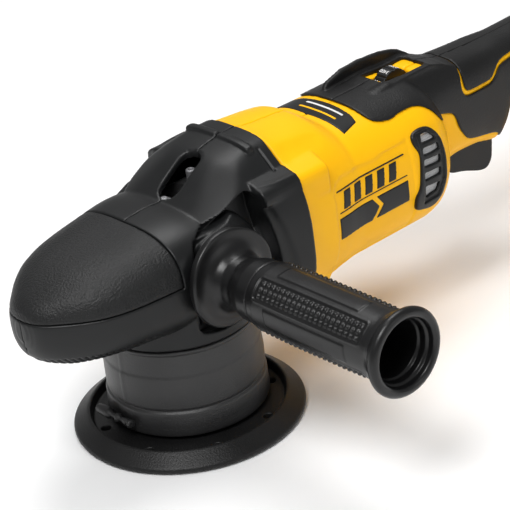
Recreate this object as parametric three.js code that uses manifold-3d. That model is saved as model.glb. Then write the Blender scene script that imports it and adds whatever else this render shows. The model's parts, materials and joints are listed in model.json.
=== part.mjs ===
// Cordless dual action polisher: a random-orbit head with a 125 mm pad, a side handle,
// a barrel motor housing, a trigger grip and a battery that slides down onto the rear foot.
// Millimetres, +Z up. The origin is on the spindle axis, at the working face of the pad.
// +X points back towards the battery, -Y towards the side handle.
import * as THREE from "three";
import { mergeVertices } from "three/addons/utils/BufferGeometryUtils.js";
import Module from "manifold-3d";

const wasm = await Module();
wasm.setup();

// ---------- driving dimensions ----------
const GAP = 0.3; // clearance between neighbouring pieces
const HALF_GAP = GAP / 2;
const WALL = 2.6; // moulded shell thickness
const PAD_R = 63.5; // backing plate radius
const ORBIT_X = -5.2; // pad axis relative to the spindle axis
const ORBIT_Y = -5.4;
const MOTOR_Z = 92; // motor and pinion axis height
const SHROUD_R = 43.5; // rubber boot radius
const SHROUD_BOTTOM = 6.8;
const SKIRT_R = 45; // round skirt of the head over the boot
const HEAD_WALL = 4.6; // wall of the head covers
const COVER_WALL = 2.4; // wall of the soft nose cover
const SLOT_X = [2.3, 29.3]; // slot in the slope above the gears
const SLOT_HALF = 7;
const POCKET_R = 29.2; // round pocket behind the side handle guard
const HOOK_X = 31.2; // front of the hooked blocks over the pockets
const HEAD_JOINT = 57; // plane between the gear head and the motor housing
const SEAM_Z = 99; // lower edge of the soft nose cover
const SEAM_X = -25; // rear edge of the soft nose cover
const RING_TEETH = 30;
const PINION_TEETH = 8;
const RING_PITCH_R = 26;
const PINION_PITCH_R = (RING_PITCH_R * PINION_TEETH) / RING_TEETH;
const GEAR_FACE = 0.72; // small end of the teeth as a fraction of the large end
const HANDLE_Z = 95.3; // side handle axis height
const GUARD_Y = -46; // inner face of the side handle guard
const FOOT_X = 345; // rear face of the battery foot
const PACK_X = [353.4, 389]; // battery pack extents
const PACK_Z = [5, 130];
const PACK_HALF_Y = 38.5;
const VENT_HOLES = 8; // air holes through the backing plate
const VENT_HOLE_RING = 47.5;
const HANDLE_X = 1.2; // side handle axis behind the spindle axis
const ORIGIN = [0, 0, 0];

// Facets round a full turn, by the size of the piece
const FINE = 26;
const MID = 16;
const SMALL = 12;
const TINY = 8;
const HOLE = 6;
const SECTION_POINTS = 18;

// Outer sections along X: [x, half width, top, bottom, widest height, squareness]
const NOSE = [
  [-98.6, 4.2, 98.7, 87.5, 92, 2.2],
  [-97, 10.6, 103.6, 79, 92, 2.3],
  [-93.4, 16.5, 107.5, 74.5, 92, 2.5],
  [-88, 22.2, 110.8, 71.6, 92, 2.6],
  [-79.6, 29.7, 114.7, 69.1, 93, 2.7],
  [-69, 36.5, 118, 68.6, 93, 2.8],
  [-54, 41, 120.8, 67.6, 94, 2.9],
  [-35, 43.3, 123.2, 66.5, 94, 3],
  [-10, 45.5, 125.5, 64.5, 95, 3],
  [0, 46, 125, 63.5, 95, 3],
  [30, 48, 142.8, 57, 95, 2.5],
  [44, 50, 145.5, 50, 94, 2.3],
  [HEAD_JOINT - HALF_GAP, 52.5, 146.5, 42, 93, 2.2],
];
const BARREL = [
  [HEAD_JOINT + HALF_GAP, 51.5, 145.5, 42, 93, 2.2],
  [62, 50, 144.4, 43, 92.5, 2.2],
  [70, 48.5, 143.5, 44, 92.5, 2.3],
  [90, 46.5, 141.5, 46.5, 92, 2.4],
  [98, 45.2, 136.5, 49, 92, 2.6],
  [104, 44.7, 132.8, 49.5, 91.5, 2.6],
  [155, 44.7, 132.8, 49.5, 91.5, 2.6],
  [165, 43, 132, 51, 91.5, 2.6],
  [174, 38.5, 128, 57, 91.5, 2.5],
  [180, 30, 120, 67, 91.5, 2.3],
  [184, 16, 110, 78, 93, 2.1],
];
const GRIP = [
  [150, 24, 131, 66, 100, 2.6],
  [176, 22, 130, 68, 103, 2.6],
  [190, 20.5, 129, 67.5, 103, 3],
  [205, 19.5, 127.5, 69.5, 104, 3.2],
  [222, 18.8, 126.2, 68.5, 104, 3.2],
  [238, 18, 125.5, 65, 104.5, 3.2],
  [243.5, 17.8, 125.4, 69, 105, 3],
  [250, 17.8, 125.3, 83, 105, 2.6],
  [258, 18, 125.3, 87, 105.5, 2.3],
  [285, 18.5, 125.5, 87.5, 106, 2.3],
  [305, 20, 126.5, 84, 106, 2.4],
  [322, 26, 128, 72, 104, 2.8],
  [332, 30, 128.5, 60, 100, 3.2],
];
const FOOT = [
  [316, 25, 120, 30, 80, 5],
  [324, 31, 127, 6, 66, 6],
  [332, 34, 129, 0.6, 65, 7],
  [FOOT_X, 36, 129.5, 0, 65, 8],
];

// ---------- materials ----------
function material(color, roughness, metalness) {
  return new THREE.MeshStandardMaterial({ color, roughness, metalness });
}
const YELLOW = [0xffc214, 0.42, 0];
const BLACK = [0x2e2f31, 0.55, 0];
const RUBBER = [0x27282a, 0.85, 0];
const SOFT = [0x303133, 0.75, 0];
const STEEL = [0x9a9da1, 0.32, 0.95];
const ALUMINIUM = [0xb6b8ba, 0.48, 0.85];
const COPPER = [0xb06a3a, 0.45, 0.8];
const BRASS = [0xc9a24a, 0.35, 0.9];
const GREY = [0x808386, 0.6, 0.1];
const BOARD = [0x1f5a34, 0.6, 0];
const CELL = [0x2f6fb0, 0.5, 0];

// ---------- solids ----------
function solid(geometry) {
  const source = geometry.index ? geometry.toNonIndexed() : geometry.clone();
  source.deleteAttribute("normal");
  source.deleteAttribute("uv");
  const merged = mergeVertices(source, 1e-4);
  return new wasm.Manifold(
    new wasm.Mesh({
      numProp: 3,
      vertProperties: merged.attributes.position.array,
      triVerts: new Uint32Array(merged.index.array),
    }),
  );
}

function box(x0, x1, y0, y1, z0, z1) {
  const g = new THREE.BoxGeometry(x1 - x0, y1 - y0, z1 - z0);
  g.translate((x0 + x1) / 2, (y0 + y1) / 2, (z0 + z1) / 2);
  return solid(g);
}

// Turns geometry made along +Z onto another axis.
function alongAxis(g, axis) {
  if (axis === "x") g.rotateY(Math.PI / 2);
  if (axis === "-x") g.rotateY(-Math.PI / 2);
  if (axis === "y") g.rotateX(-Math.PI / 2);
  if (axis === "-y") g.rotateX(Math.PI / 2);
  return g;
}

// A turned body: profile of [radius, height] pairs round the given axis through at.
function turned(profile, axis = "z", at = [0, 0, 0], segments = MID) {
  const points = profile.map(([r, h]) => new THREE.Vector2(r, h));
  const g = new THREE.LatheGeometry(points, segments);
  g.rotateX(Math.PI / 2);
  alongAxis(g, axis);
  g.translate(...at);
  return solid(g);
}

function rod(r, h0, h1, axis = "z", at = [0, 0, 0], segments = SMALL) {
  const profile = [
    [0, h0],
    [r, h0],
    [r, h1],
    [0, h1],
  ];
  return turned(profile, axis, at, segments);
}

function tube(r0, r1, h0, h1, axis = "z", at = [0, 0, 0], segments = MID) {
  const profile = [
    [r0, h0],
    [r1, h0],
    [r1, h1],
    [r0, h1],
    [r0, h0],
  ];
  return turned(profile, axis, at, segments);
}

// A flat outline pushed from d0 to d1. "xy" outlines rise along Z, "xz" ones run along Y.
function prism(outline, d0, d1, plane = "xz") {
  const shape = new THREE.Shape(outline.map(([u, v]) => new THREE.Vector2(u, v)));
  const g = new THREE.ExtrudeGeometry(shape, { depth: d1 - d0, bevelEnabled: false });
  g.translate(0, 0, d0);
  if (plane === "xz") {
    g.rotateX(Math.PI / 2);
    g.scale(1, -1, 1);
    return solid(flipped(g));
  }
  return solid(g);
}

// Reverses the winding, after a mirroring scale.
function flipped(g) {
  const p = g.attributes.position.array;
  for (let i = 0; i < p.length; i += 9) {
    for (let k = 0; k < 3; k++) {
      [p[i + 3 + k], p[i + 6 + k]] = [p[i + 6 + k], p[i + 3 + k]];
    }
  }
  return g;
}

function roundedOutline(x0, x1, y0, y1, r, steps = 4) {
  const corners = [
    [x1 - r, y1 - r, 0],
    [x0 + r, y1 - r, 1],
    [x0 + r, y0 + r, 2],
    [x1 - r, y0 + r, 3],
  ];
  const outline = [];
  for (const [cx, cy, quarter] of corners) {
    for (let i = 0; i <= steps; i++) {
      const t = ((quarter + i / steps) * Math.PI) / 2;
      outline.push([cx + r * Math.cos(t), cy + r * Math.sin(t)]);
    }
  }
  return outline;
}

// One closed superellipse section at x, shrunk by inset.
function section([x, half, top, bottom, mid, power], inset, count) {
  const a = half - inset;
  const ring = [];
  for (let i = 0; i < count; i++) {
    const t = (2 * Math.PI * i) / count;
    const c = Math.cos(t);
    const s = Math.sin(t);
    const rise = s > 0 ? top - inset - mid : mid - (bottom + inset);
    const y = a * Math.sign(c) * Math.abs(c) ** (2 / power);
    const z = mid + rise * Math.sign(s) * Math.abs(s) ** (2 / power);
    ring.push([x, y, z]);
  }
  return ring;
}

// A solid skin through rings of points, closed by a fan at each end.
function skin(rings) {
  const count = rings[0].length;
  const positions = [];
  const tri = (a, b, c) => positions.push(...a, ...b, ...c);
  for (let i = 0; i + 1 < rings.length; i++) {
    for (let j = 0; j < count; j++) {
      const k = (j + 1) % count;
      tri(rings[i][j], rings[i][k], rings[i + 1][k]);
      tri(rings[i][j], rings[i + 1][k], rings[i + 1][j]);
    }
  }
  const centre = (ring) => [0, 1, 2].map((k) => ring.reduce((s, p) => s + p[k], 0) / count);
  const first = rings[0];
  const last = rings[rings.length - 1];
  for (let j = 0; j < count; j++) {
    const k = (j + 1) % count;
    tri(first[k], first[j], centre(first));
    tri(last[j], last[k], centre(last));
  }
  const g = new THREE.BufferGeometry();
  g.setAttribute("position", new THREE.Float32BufferAttribute(positions, 3));
  return solid(g);
}

function loft(sections, inset = 0, shift = [0, 0], count = SECTION_POINTS) {
  const keys = sections.filter(([, half, top, bottom, mid]) => {
    return Math.min(half, top - mid, mid - bottom) > inset + 2;
  });
  const last = keys.length - 1;
  const moved = keys.map((key, i) => {
    const offset = i === 0 ? shift[0] : i === last ? shift[1] : 0;
    return [key[0] + offset, ...key.slice(1)];
  });
  return skin(moved.map((key) => section(key, inset, count)));
}

// The space on each side of the joint down the middle
const LEFT = box(-300, 600, -300, -HALF_GAP, -100, 400);
const RIGHT = box(-300, 600, HALF_GAP, 300, -100, 400);

function mirrorY(s) {
  return s.mirror([0, 1, 0]);
}

// ---------- assembly ----------
const root = new THREE.Group();

// An assembly of pieces round its own origin, with its local Z along the given axis.
function assembly(name, at, axis = "z") {
  const group = new THREE.Group();
  group.name = name;
  group.position.set(...at);
  if (axis === "x") group.rotation.y = Math.PI / 2;
  if (axis === "-y") group.rotation.x = Math.PI / 2;
  root.add(group);
  return group;
}

function add(name, s, [color, roughness, metalness], group = root) {
  const mesh = s.getMesh();
  const g = new THREE.BufferGeometry();
  g.setAttribute("position", new THREE.BufferAttribute(new Float32Array(mesh.vertProperties), 3));
  g.setIndex(new THREE.BufferAttribute(new Uint32Array(mesh.triVerts), 1));
  g.computeVertexNormals();
  const made = new THREE.Mesh(g, material(color, roughness, metalness));
  made.name = name;
  group.add(made);
}

// ---------- pad ----------
const PAD = [ORBIT_X, ORBIT_Y, 0];
const pad = assembly("pad_assembly", PAD);

function plateCushion() {
  const profile = [
    [5.2, 1.5],
    [PAD_R - 1, 1.5],
    [PAD_R, 2.6],
    [PAD_R - 0.6, 4],
    [54.6, 10],
    [53, 10],
    [52, 4.6],
    [22.4, 4.6],
    [22.4, 2.6],
    [5.2, 2.6],
    [5.2, 1.5],
  ];
  let body = turned(profile, "z", ORIGIN, FINE);
  for (let i = 0; i < VENT_HOLES; i++) {
    const t = ((i + 0.5) * 2 * Math.PI) / VENT_HOLES;
    const at = [VENT_HOLE_RING * Math.cos(t), VENT_HOLE_RING * Math.sin(t), 0];
    body = body.subtract(rod(2.4, 0, 12, "z", at, TINY));
  }
  return body;
}

function plateHub() {
  const profile = [
    [5.6, 2.9],
    [22, 2.9],
    [22, 5.2],
    [12, 8],
    [12, 12],
    [5.6, 12],
    [5.6, 2.9],
  ];
  return turned(profile, "z", ORIGIN, MID);
}

function padSpindle() {
  const profile = [
    [2.9, 4.3],
    [5.3, 4.3],
    [5.3, 12.3],
    [8, 12.3],
    [8, 15],
    [5.7, 15],
    [5.7, 39],
    [2.9, 39],
    [2.9, 4.3],
  ];
  return turned(profile, "z", ORIGIN, SMALL);
}

function plateScrew() {
  const head = rod(4.9, 1.6, 4, "z", ORIGIN, SMALL);
  const key = rod(2.2, 1, 3, "z", ORIGIN, HOLE);
  return head.subtract(key).add(rod(2.5, 3.9, 22, "z", ORIGIN, TINY));
}

add("backing_plate", plateCushion(), RUBBER, pad);
add("backing_plate_hub", plateHub(), BLACK, pad);
add("hook_face", rod(PAD_R - 1.5, 0, 1.2, "z", ORIGIN, FINE), SOFT, pad);
add("pad_spindle", padSpindle(), STEEL, pad);
add("plate_screw", plateScrew(), STEEL, pad);
add("pad_bearing", tube(6, 13.7, 18, 36, "z", ORIGIN, MID), STEEL, pad);

// ---------- spindle ----------
// The hub carries the pad bearings off centre; the half-round weight balances them.
function counterweight() {
  const hub = rod(18, 15.5, 44, "z", PAD, MID);
  const plate = rod(24, 39.5, 46, "z", ORIGIN, MID);
  const away = Math.atan2(-ORBIT_Y, -ORBIT_X);
  const outline = [];
  for (let i = 0; i <= 14; i++) {
    const t = away + (i / 14 - 0.5) * Math.PI;
    outline.push([34 * Math.cos(t), 34 * Math.sin(t)]);
  }
  const weight = prism(outline, 22, 46, "xy");
  const bore = rod(14, 10, 39.3, "z", PAD, MID);
  return hub.add(plate).add(weight).subtract(bore).subtract(rod(6.4, 40, 50, "z", ORIGIN, SMALL));
}

function spindleShaft() {
  const profile = [
    [0, 41],
    [6.1, 41],
    [6.1, 49],
    [8, 49],
    [8, 97],
    [7, 97],
    [7, 111],
    [0, 111],
  ];
  return turned(profile, "z", ORIGIN, SMALL);
}

// A closed ring of stations, each a polygon of [radius, height] pairs at one angle.
function stationRing(stations) {
  const positions = [];
  const point = ({ angle, polygon }, k) => {
    const [r, h] = polygon[k % polygon.length];
    return [r * Math.cos(angle), r * Math.sin(angle), h];
  };
  stations.forEach((a, i) => {
    const b = stations[(i + 1) % stations.length];
    for (let k = 0; k < a.polygon.length; k++) {
      positions.push(...point(a, k), ...point(b, k), ...point(b, k + 1));
      positions.push(...point(a, k), ...point(b, k + 1), ...point(a, k + 1));
    }
  });
  const g = new THREE.BufferGeometry();
  g.setAttribute("position", new THREE.Float32BufferAttribute(positions, 3));
  return g;
}

// A bevel gear round +Z with its apex at the origin and its teeth scaled towards the apex.
// pitch is the pitch radius, mate the height of the pitch circle below the apex.
function bevelGear({ teeth, pitch, mate, up, down, tip, foot, inner, back, phase }) {
  const length = Math.hypot(pitch, mate);
  const normal = [mate / length, pitch / length];
  const step = (2 * Math.PI) / teeth;
  const stations = [];
  for (let i = 0; i < teeth; i++) {
    const at = (i + phase) * step;
    const corners = [
      [-foot / 2, -down],
      [-tip / 2, up],
      [tip / 2, up],
      [foot / 2, -down],
    ];
    for (const [offset, height] of corners) {
      const large = [pitch + normal[0] * height, -mate + normal[1] * height];
      const small = [large[0] * GEAR_FACE, large[1] * GEAR_FACE];
      const polygon = [large, small, [inner, back], [large[0], back]];
      stations.push({ angle: at + offset * step, polygon });
    }
  }
  return stationRing(stations);
}

const RING_GEAR = {
  teeth: RING_TEETH,
  pitch: RING_PITCH_R,
  mate: PINION_PITCH_R,
  up: 1.0,
  down: 1.45,
  tip: 0.2,
  foot: 0.52,
  inner: 8.4,
  back: -14,
  phase: 0.5,
};
const PINION = {
  teeth: PINION_TEETH,
  pitch: PINION_PITCH_R,
  mate: RING_PITCH_R,
  up: 1.0,
  down: 1.45,
  tip: 0.18,
  foot: 0.5,
  inner: 3.5,
  back: -30,
  phase: 0,
};

function ringGear() {
  const g = bevelGear(RING_GEAR);
  g.translate(0, 0, MOTOR_Z);
  return solid(g);
}

// Its axis lies along X, with the apex on the spindle and a tooth gap straight down.
function pinion() {
  const g = bevelGear(PINION);
  g.rotateY(-Math.PI / 2);
  g.translate(0, 0, MOTOR_Z);
  return solid(g);
}

add("counterweight", counterweight(), STEEL);
add("spindle_shaft", spindleShaft(), STEEL);
add("ring_gear", ringGear(), STEEL);
add("spindle_bearing_lower", tube(8.3, 17.4, 57, 67, "z", ORIGIN, MID), STEEL);
add("spindle_bearing_upper", tube(7.3, 13.4, 99, 109, "z", ORIGIN, MID), STEEL);

// ---------- gear case ----------
const SHAFT_AT = [0, 0, MOTOR_Z];
const HANDLE_AT = [HANDLE_X, 0, HANDLE_Z];
const FLANGE_SCREWS = [
  [-25.5, 117.5],
  [25.5, 117.5],
  [-25.5, 66.5],
  [25.5, 66.5],
];

function gearCase() {
  let body = rod(34, 54, 114, "z", ORIGIN, FINE);
  body = body.add(rod(34, 20, 47, "x", SHAFT_AT, FINE));
  body = body.add(rod(38, 46, 56, "x", SHAFT_AT, FINE));
  body = body.add(rod(13, 30, 44.5, "y", HANDLE_AT, SMALL));
  body = body.add(rod(13, 30, 44.5, "-y", HANDLE_AT, SMALL));
  body = body.subtract(rod(30, 68, 98, "z", ORIGIN, FINE));
  body = body.subtract(rod(17.7, 50, 70, "z", ORIGIN, MID));
  body = body.subtract(rod(13.7, 97, 111.5, "z", ORIGIN, MID));
  body = body.subtract(rod(11.6, 14, 44, "x", SHAFT_AT, MID));
  body = body.subtract(tube(34, 50, 50, 66, "z", ORIGIN, FINE));
  body = body.subtract(rod(33, 43, 60, "x", SHAFT_AT, MID));
  for (const axis of ["y", "-y"]) {
    body = body.subtract(rod(4.3, 33, 46, axis, HANDLE_AT, TINY));
  }
  for (const [y, z] of FLANGE_SCREWS) {
    body = body.subtract(rod(2, 47, 60, "x", [0, y, z], TINY));
  }
  return body;
}

function bearingRetainer() {
  return tube(12, 30, 50.5, 53.7, "z", ORIGIN, MID).add(tube(26, 30, 47, 51, "z", ORIGIN, MID));
}

function flangeScrew(y, z) {
  const head = rod(3.6, 62.5, 66.5, "x", [0, y, z], TINY);
  const socket = rod(1.8, 64.5, 68, "x", [0, y, z], 6);
  return head.subtract(socket).add(rod(1.7, 48, 63, "x", [0, y, z], TINY));
}

add("gear_case", gearCase(), ALUMINIUM);
add("bearing_retainer", bearingRetainer(), ALUMINIUM);
FLANGE_SCREWS.forEach(([y, z], i) => {
  add("flange_screw_" + (i + 1), flangeScrew(y, z), STEEL);
});

// ---------- head covers, nose cover and boot ----------
const POCKET_AT = [1, 0, HANDLE_Z + 1];

function slotCutter() {
  return prism(roundedOutline(...SLOT_X, -SLOT_HALF, SLOT_HALF, SLOT_HALF - 0.1, 5), 112, 160, "xy");
}

// The hooked block behind the side handle pocket, and the raised ring round the pocket.
function bossSurround() {
  const ring = tube(POCKET_R - 0.2, 34.5, 40, 48.5, "-y", POCKET_AT, MID);
  const keep = box(-40, 44, -60, -30, 80, 128);
  const end = HEAD_JOINT - HALF_GAP;
  const hook = box(HOOK_X, end, -48, -34, 116, 128.6).add(box(HOOK_X, end, -44.6, -34, 128, 132));
  return ring.intersect(keep).add(hook);
}

function headCovers() {
  const outer = loft(NOSE).add(rod(SKIRT_R, 57.5, 78, "z", ORIGIN, FINE));
  const surround = bossSurround();
  const bar = box(42, 47, -25, 25, 140, 147.6);
  let body = outer.add(surround).add(mirrorY(surround)).add(bar);
  body = body.subtract(loft(NOSE, HEAD_WALL, [2, 3]));
  body = body.subtract(rod(34.6, 50, 116, "z", ORIGIN, FINE));
  body = body.subtract(rod(41.2, 50, 66, "z", ORIGIN, FINE));
  for (const axis of ["y", "-y"]) {
    body = body.subtract(rod(POCKET_R, 30, 60, axis, POCKET_AT, MID));
  }
  body = body.subtract(slotCutter());
  return body.subtract(noseBlock(GAP));
}

// The space the nose cover fills, grown by grow.
function noseBlock(grow) {
  const corner = SEAM_X + grow;
  const block = box(-120, corner, -80, 80, SEAM_Z - grow, 140);
  return block.subtract(loft(NOSE, COVER_WALL + grow));
}

function noseCover() {
  return loft(NOSE).intersect(noseBlock(0));
}

function shroud() {
  const profile = [
    [SHROUD_R, SHROUD_BOTTOM],
    [SHROUD_R + 0.6, 12],
    [SHROUD_R + 0.4, 21],
    [SHROUD_R - 0.9, 22.2],
    [SHROUD_R - 0.4, 23.6],
    [SHROUD_R - 0.8, 43],
    [SHROUD_R - 2.8, 46],
    [SHROUD_R - 2.8, 65.4],
    [34.9, 65.4],
    [34.9, 53.7],
    [38.6, 53.7],
    [40.6, 43],
    [41, SHROUD_BOTTOM],
    [SHROUD_R, SHROUD_BOTTOM],
  ];
  return turned(profile, "z", ORIGIN, FINE);
}

// The rubber toggle tied along the front of the boot.
function shroudTether() {
  const profile = [
    [0, -19],
    [2.6, -19],
    [3.1, -8],
    [1.5, -7],
    [1.5, -2],
    [2.3, 5],
    [2.3, 9],
    [0, 9],
  ];
  const toggle = turned(profile, "-y", [-47.4, 0, 14.6], TINY);
  return toggle.add(box(-47.4, -44.5, 1, 5, 12.8, 16.4));
}

const covers = headCovers();
add("head_cover_left", covers.intersect(LEFT), BLACK);
add("head_cover_right", covers.intersect(RIGHT), BLACK);
add("nose_cover", noseCover(), SOFT);
add("shroud", shroud(), RUBBER);
add("shroud_tether", shroudTether(), GREY);

// ---------- side handle ----------
const handle = assembly("side_handle", HANDLE_AT, "-y");

function sideHandleGrip() {
  const guard = -GUARD_Y;
  const profile = [
    [4.5, guard],
    [16, guard],
    [26, guard + 2],
    [27, guard + 4],
    [25, guard + 6],
    [17, guard + 10],
    [14, guard + 16],
    [16.4, guard + 22],
    [17.2, guard + 33],
    [18.4, guard + 41],
    [18.4, 163],
    [20, 171.5],
    [23, 175],
    [23.2, 177.5],
    [21.5, 180],
    [17.5, 180],
    [14.8, 176],
    [14.8, 120],
    [4.5, 120],
    [4.5, guard],
  ];
  return turned(profile, "z", ORIGIN, MID);
}

function sideHandleStud() {
  const shank = rod(4.1, 34, 118, "z", ORIGIN, TINY);
  const nut = rod(7.5, 120.3, 126, "z", ORIGIN, HOLE);
  return shank.add(nut).add(rod(4.1, 117, 121, "z", ORIGIN, TINY));
}

add("side_handle_grip", sideHandleGrip(), SOFT, handle);
add("side_handle_stud", sideHandleStud(), STEEL, handle);

// ---------- motor ----------
const motor = assembly("motor", SHAFT_AT, "x");

function motorStator() {
  let body = tube(21, 32, 74, 122, "z", ORIGIN, MID);
  for (let i = 0; i < 6; i++) {
    const t = ((i + 0.5) * Math.PI) / 3;
    const at = [21 * Math.cos(t), 21 * Math.sin(t), 0];
    body = body.subtract(rod(2, 70, 130, "z", at, HOLE));
  }
  return body;
}

function coolingFan() {
  let body = tube(4.3, 10, 60, 70, "z", ORIGIN, SMALL).add(tube(4.3, 29, 68, 70, "z", ORIGIN, MID));
  for (let i = 0; i < 9; i++) {
    const blade = box(9, 28.5, -0.9, 0.9, 60.5, 69);
    body = body.add(blade.rotate([0, 0, i * 40]));
  }
  return body;
}

function motorShaft() {
  const profile = [
    [0, 16.6],
    [3.3, 16.6],
    [3.3, 31.5],
    [4, 31.5],
    [4, 146],
    [0, 146],
  ];
  return turned(profile, "z", ORIGIN, SMALL);
}

function motorBracket() {
  let body = tube(11.6, 36, 134, 137, "z", ORIGIN, MID).add(tube(11.6, 16, 136, 147, "z", ORIGIN, MID));
  for (let i = 0; i < 6; i++) {
    const t = (i * Math.PI) / 3;
    const at = [26 * Math.cos(t), 26 * Math.sin(t), 0];
    body = body.subtract(rod(6, 130, 140, "z", at, TINY));
  }
  return body;
}

add("pinion", pinion(), STEEL);
add("motor_shaft", motorShaft(), STEEL, motor);
add("rotor_core", tube(4.3, 20.2, 76, 120, "z", ORIGIN, MID), GREY, motor);
add("cooling_fan", coolingFan(), BLACK, motor);
add("motor_stator", motorStator(), COPPER, motor);
add("motor_bearing_front", tube(4.3, 11.3, 34, 42, "z", ORIGIN, SMALL), STEEL, motor);
add("motor_bearing_rear", tube(4.3, 11.3, 138, 145, "z", ORIGIN, SMALL), STEEL, motor);
add("motor_bracket", motorBracket(), BLACK, motor);

// ---------- motor housing, grip and foot ----------
const DIAL_AT = [170.5, 0, 124.7];
const DIAL_R = 11;
const DIAL_HALF = 4;
const BUTTON_AT = [200, 0, 98];
const BUTTON_R = 3.6;
const CLEAR = 0.6; // room round the dial and the button in their wells

// Outlines on the sides, as [x, z]
const FRONT_SOFT = [
  [126, 150],
  [126, 128.5],
  [131, 126.3],
  [138, 125.2],
  [150, 126.4],
  [159, 125.5],
  [165, 122],
  [170, 116],
  [174, 110],
  [186, 106],
  [198, 102],
  [201, 91],
  [209, 79.8],
  [219, 77],
  [236, 73.4],
  [243, 64],
  [256, 64],
  [256, 116.5],
  [242, 115.5],
  [238, 114],
  [232, 107],
  [208.5, 107.5],
  [205.5, 114],
  [206.5, 150],
];
const REAR_SOFT = [
  [209, 150],
  [208, 114.5],
  [210, 110],
  [231, 109.5],
  [237, 116],
  [242, 118],
  [256, 118.6],
  [258, 118],
  [258, 80],
  [312, 80],
  [312, 150],
];
const BADGE = [
  [81, 93],
  [108, 93],
  [115, 86],
  [108, 79],
  [81, 79],
];
const TOP_BADGE = [
  [108, -28],
  [120, -25],
  [123, 0],
  [120, 25],
  [108, 28],
];

const VENT = [
  [143.5, 115.6],
  [151, 117],
  [158.4, 115.6],
  [164.2, 108.2],
  [166.8, 95],
  [166.2, 82],
  [162, 72],
  [154, 67.2],
  [140, 71],
  [140.4, 80.6],
  [143.6, 84],
  [146.4, 104.6],
  [143.2, 110],
];
const VENT_HOLE = [
  [150, 112],
  [155, 112],
  [160, 107.5],
  [162.6, 99],
  [163, 90],
  [160.4, 80],
  [154, 73],
  [149, 73],
];

function cornerBoss([y, z]) {
  return rod(8, HEAD_JOINT + HALF_GAP, 80, "x", [0, y, z], SMALL);
}

const CORNERS = [
  [-33, 123],
  [33, 123],
  [-30, 59],
  [30, 59],
];

// Everything outside: barrel, grip and foot as one form.
function bodyForm(inset, shift = [0, 0]) {
  const barrel = loft(BARREL, inset, [shift[0], -shift[1]]);
  const grip = loft(GRIP, inset, [shift[1], 0]);
  return barrel.add(grip).add(loft(FOOT, inset, [shift[1], -shift[1]]));
}

// The thin layer over the body that the soft patches and badges are cut from
const skinInside = bodyForm(-GAP);
const bareSkin = bodyForm(-1.2).subtract(skinInside);

function bothSides(s) {
  return s.add(mirrorY(s));
}

function dialWell(grow) {
  return rod(DIAL_R + grow, -DIAL_HALF - grow, DIAL_HALF + grow, "y", DIAL_AT, MID);
}

function buttonWell(grow) {
  return rod(BUTTON_R + grow, 9, 40, "y", BUTTON_AT, SMALL);
}

const TRIGGER_SLOT = box(199, 241, -9.3, 9.3, 45, 92);

function housing() {
  let outer = bodyForm(0);
  for (const corner of CORNERS) {
    outer = outer.add(cornerBoss(corner));
  }
  outer = outer.add(box(340, 372, -30, 30, 0, PACK_Z[0] - GAP));
  let body = outer.subtract(bodyForm(WALL, [-3, 2.4]));
  for (const [y, z] of FLANGE_SCREWS) {
    body = body.subtract(rod(4.2, 50, 72, "x", [0, y, z], TINY));
  }
  const vents = bothSides(prism(VENT_HOLE, -60, -20, "xz"));
  body = body.subtract(TRIGGER_SLOT).subtract(vents);
  body = body.subtract(dialWell(CLEAR)).subtract(buttonWell(CLEAR));
  return body.subtract(box(341, 350, -16, 16, 40, 100));
}

// Pod round the speed dial, with a taller fin along its right side.
function dialPod() {
  const crown = [
    [140, 126],
    [150, 132.4],
    [156, 133.2],
    [190, 133.2],
    [200, 130],
    [206, 124],
  ];
  const fin = [
    [138.5, 127],
    [141, 138.6],
    [147, 140.8],
    [160, 141.4],
    [176, 140.2],
    [186, 138],
    [191, 136],
    [197, 131.5],
    [201, 126],
  ];
  const pod = prism(crown, -15, 15, "xz").add(prism(fin, 12, 15.6, "xz"));
  return pod.subtract(skinInside).subtract(box(156.5, 190, -9, 9, 100, 160));
}

function overmold() {
  const soft = bareSkin.intersect(prism(FRONT_SOFT, -80, 80, "xz")).add(dialPod());
  const cut = bothSides(prism(VENT.map(([x, z]) => [x + Math.sign(x - 154) * 1, z]), -80, -20, "xz"));
  return soft.subtract(cut).subtract(dialWell(CLEAR)).subtract(buttonWell(CLEAR)).subtract(TRIGGER_SLOT);
}

function sideBadge() {
  return bareSkin.intersect(prism(BADGE, -80, -20, "xz"));
}

function topBadge() {
  return bareSkin.intersect(prism(TOP_BADGE, 100, 160, "xy"));
}

const housingForm = housing();
add("housing_left", housingForm.intersect(LEFT), YELLOW);
add("housing_right", housingForm.intersect(RIGHT), YELLOW);

const soft = overmold();
add("pod_overmold_left", soft.intersect(LEFT), RUBBER);
add("pod_overmold_right", soft.intersect(RIGHT), RUBBER);
const gripSoft = bareSkin.intersect(prism(REAR_SOFT, -80, 80, "xz"));
add("grip_overmold_left", gripSoft.intersect(LEFT), RUBBER);
add("grip_overmold_right", gripSoft.intersect(RIGHT), RUBBER);
const badge = sideBadge();
add("side_badge_left", badge, BLACK);
add("side_badge_right", mirrorY(badge), BLACK);
add("top_badge", topBadge(), BLACK);

// ---------- vents ----------
function ventFrame() {
  const frame = loft(BARREL, -1.8).subtract(loft(BARREL, -GAP, [-2, 2]));
  return frame.intersect(prism(VENT, -80, -20, "xz")).subtract(prism(VENT_HOLE, -80, -20, "xz"));
}

// Slatted grey grille behind the frame, seated in the housing opening.
function ventGrille() {
  const inner = VENT_HOLE.map(([x, z]) => [x + (157 - x) * 0.06, z + (92 - z) * 0.04]);
  const plate = loft(BARREL, 0.4).subtract(loft(BARREL, 2.4, [-2, 2]));
  let grille = plate.intersect(prism(inner, -80, -20, "xz"));
  for (let i = 0; i < 5; i++) {
    const z = 78 + i * 7;
    grille = grille.subtract(box(151.5, 161, -80, -20, z, z + 4));
  }
  return grille;
}

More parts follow.
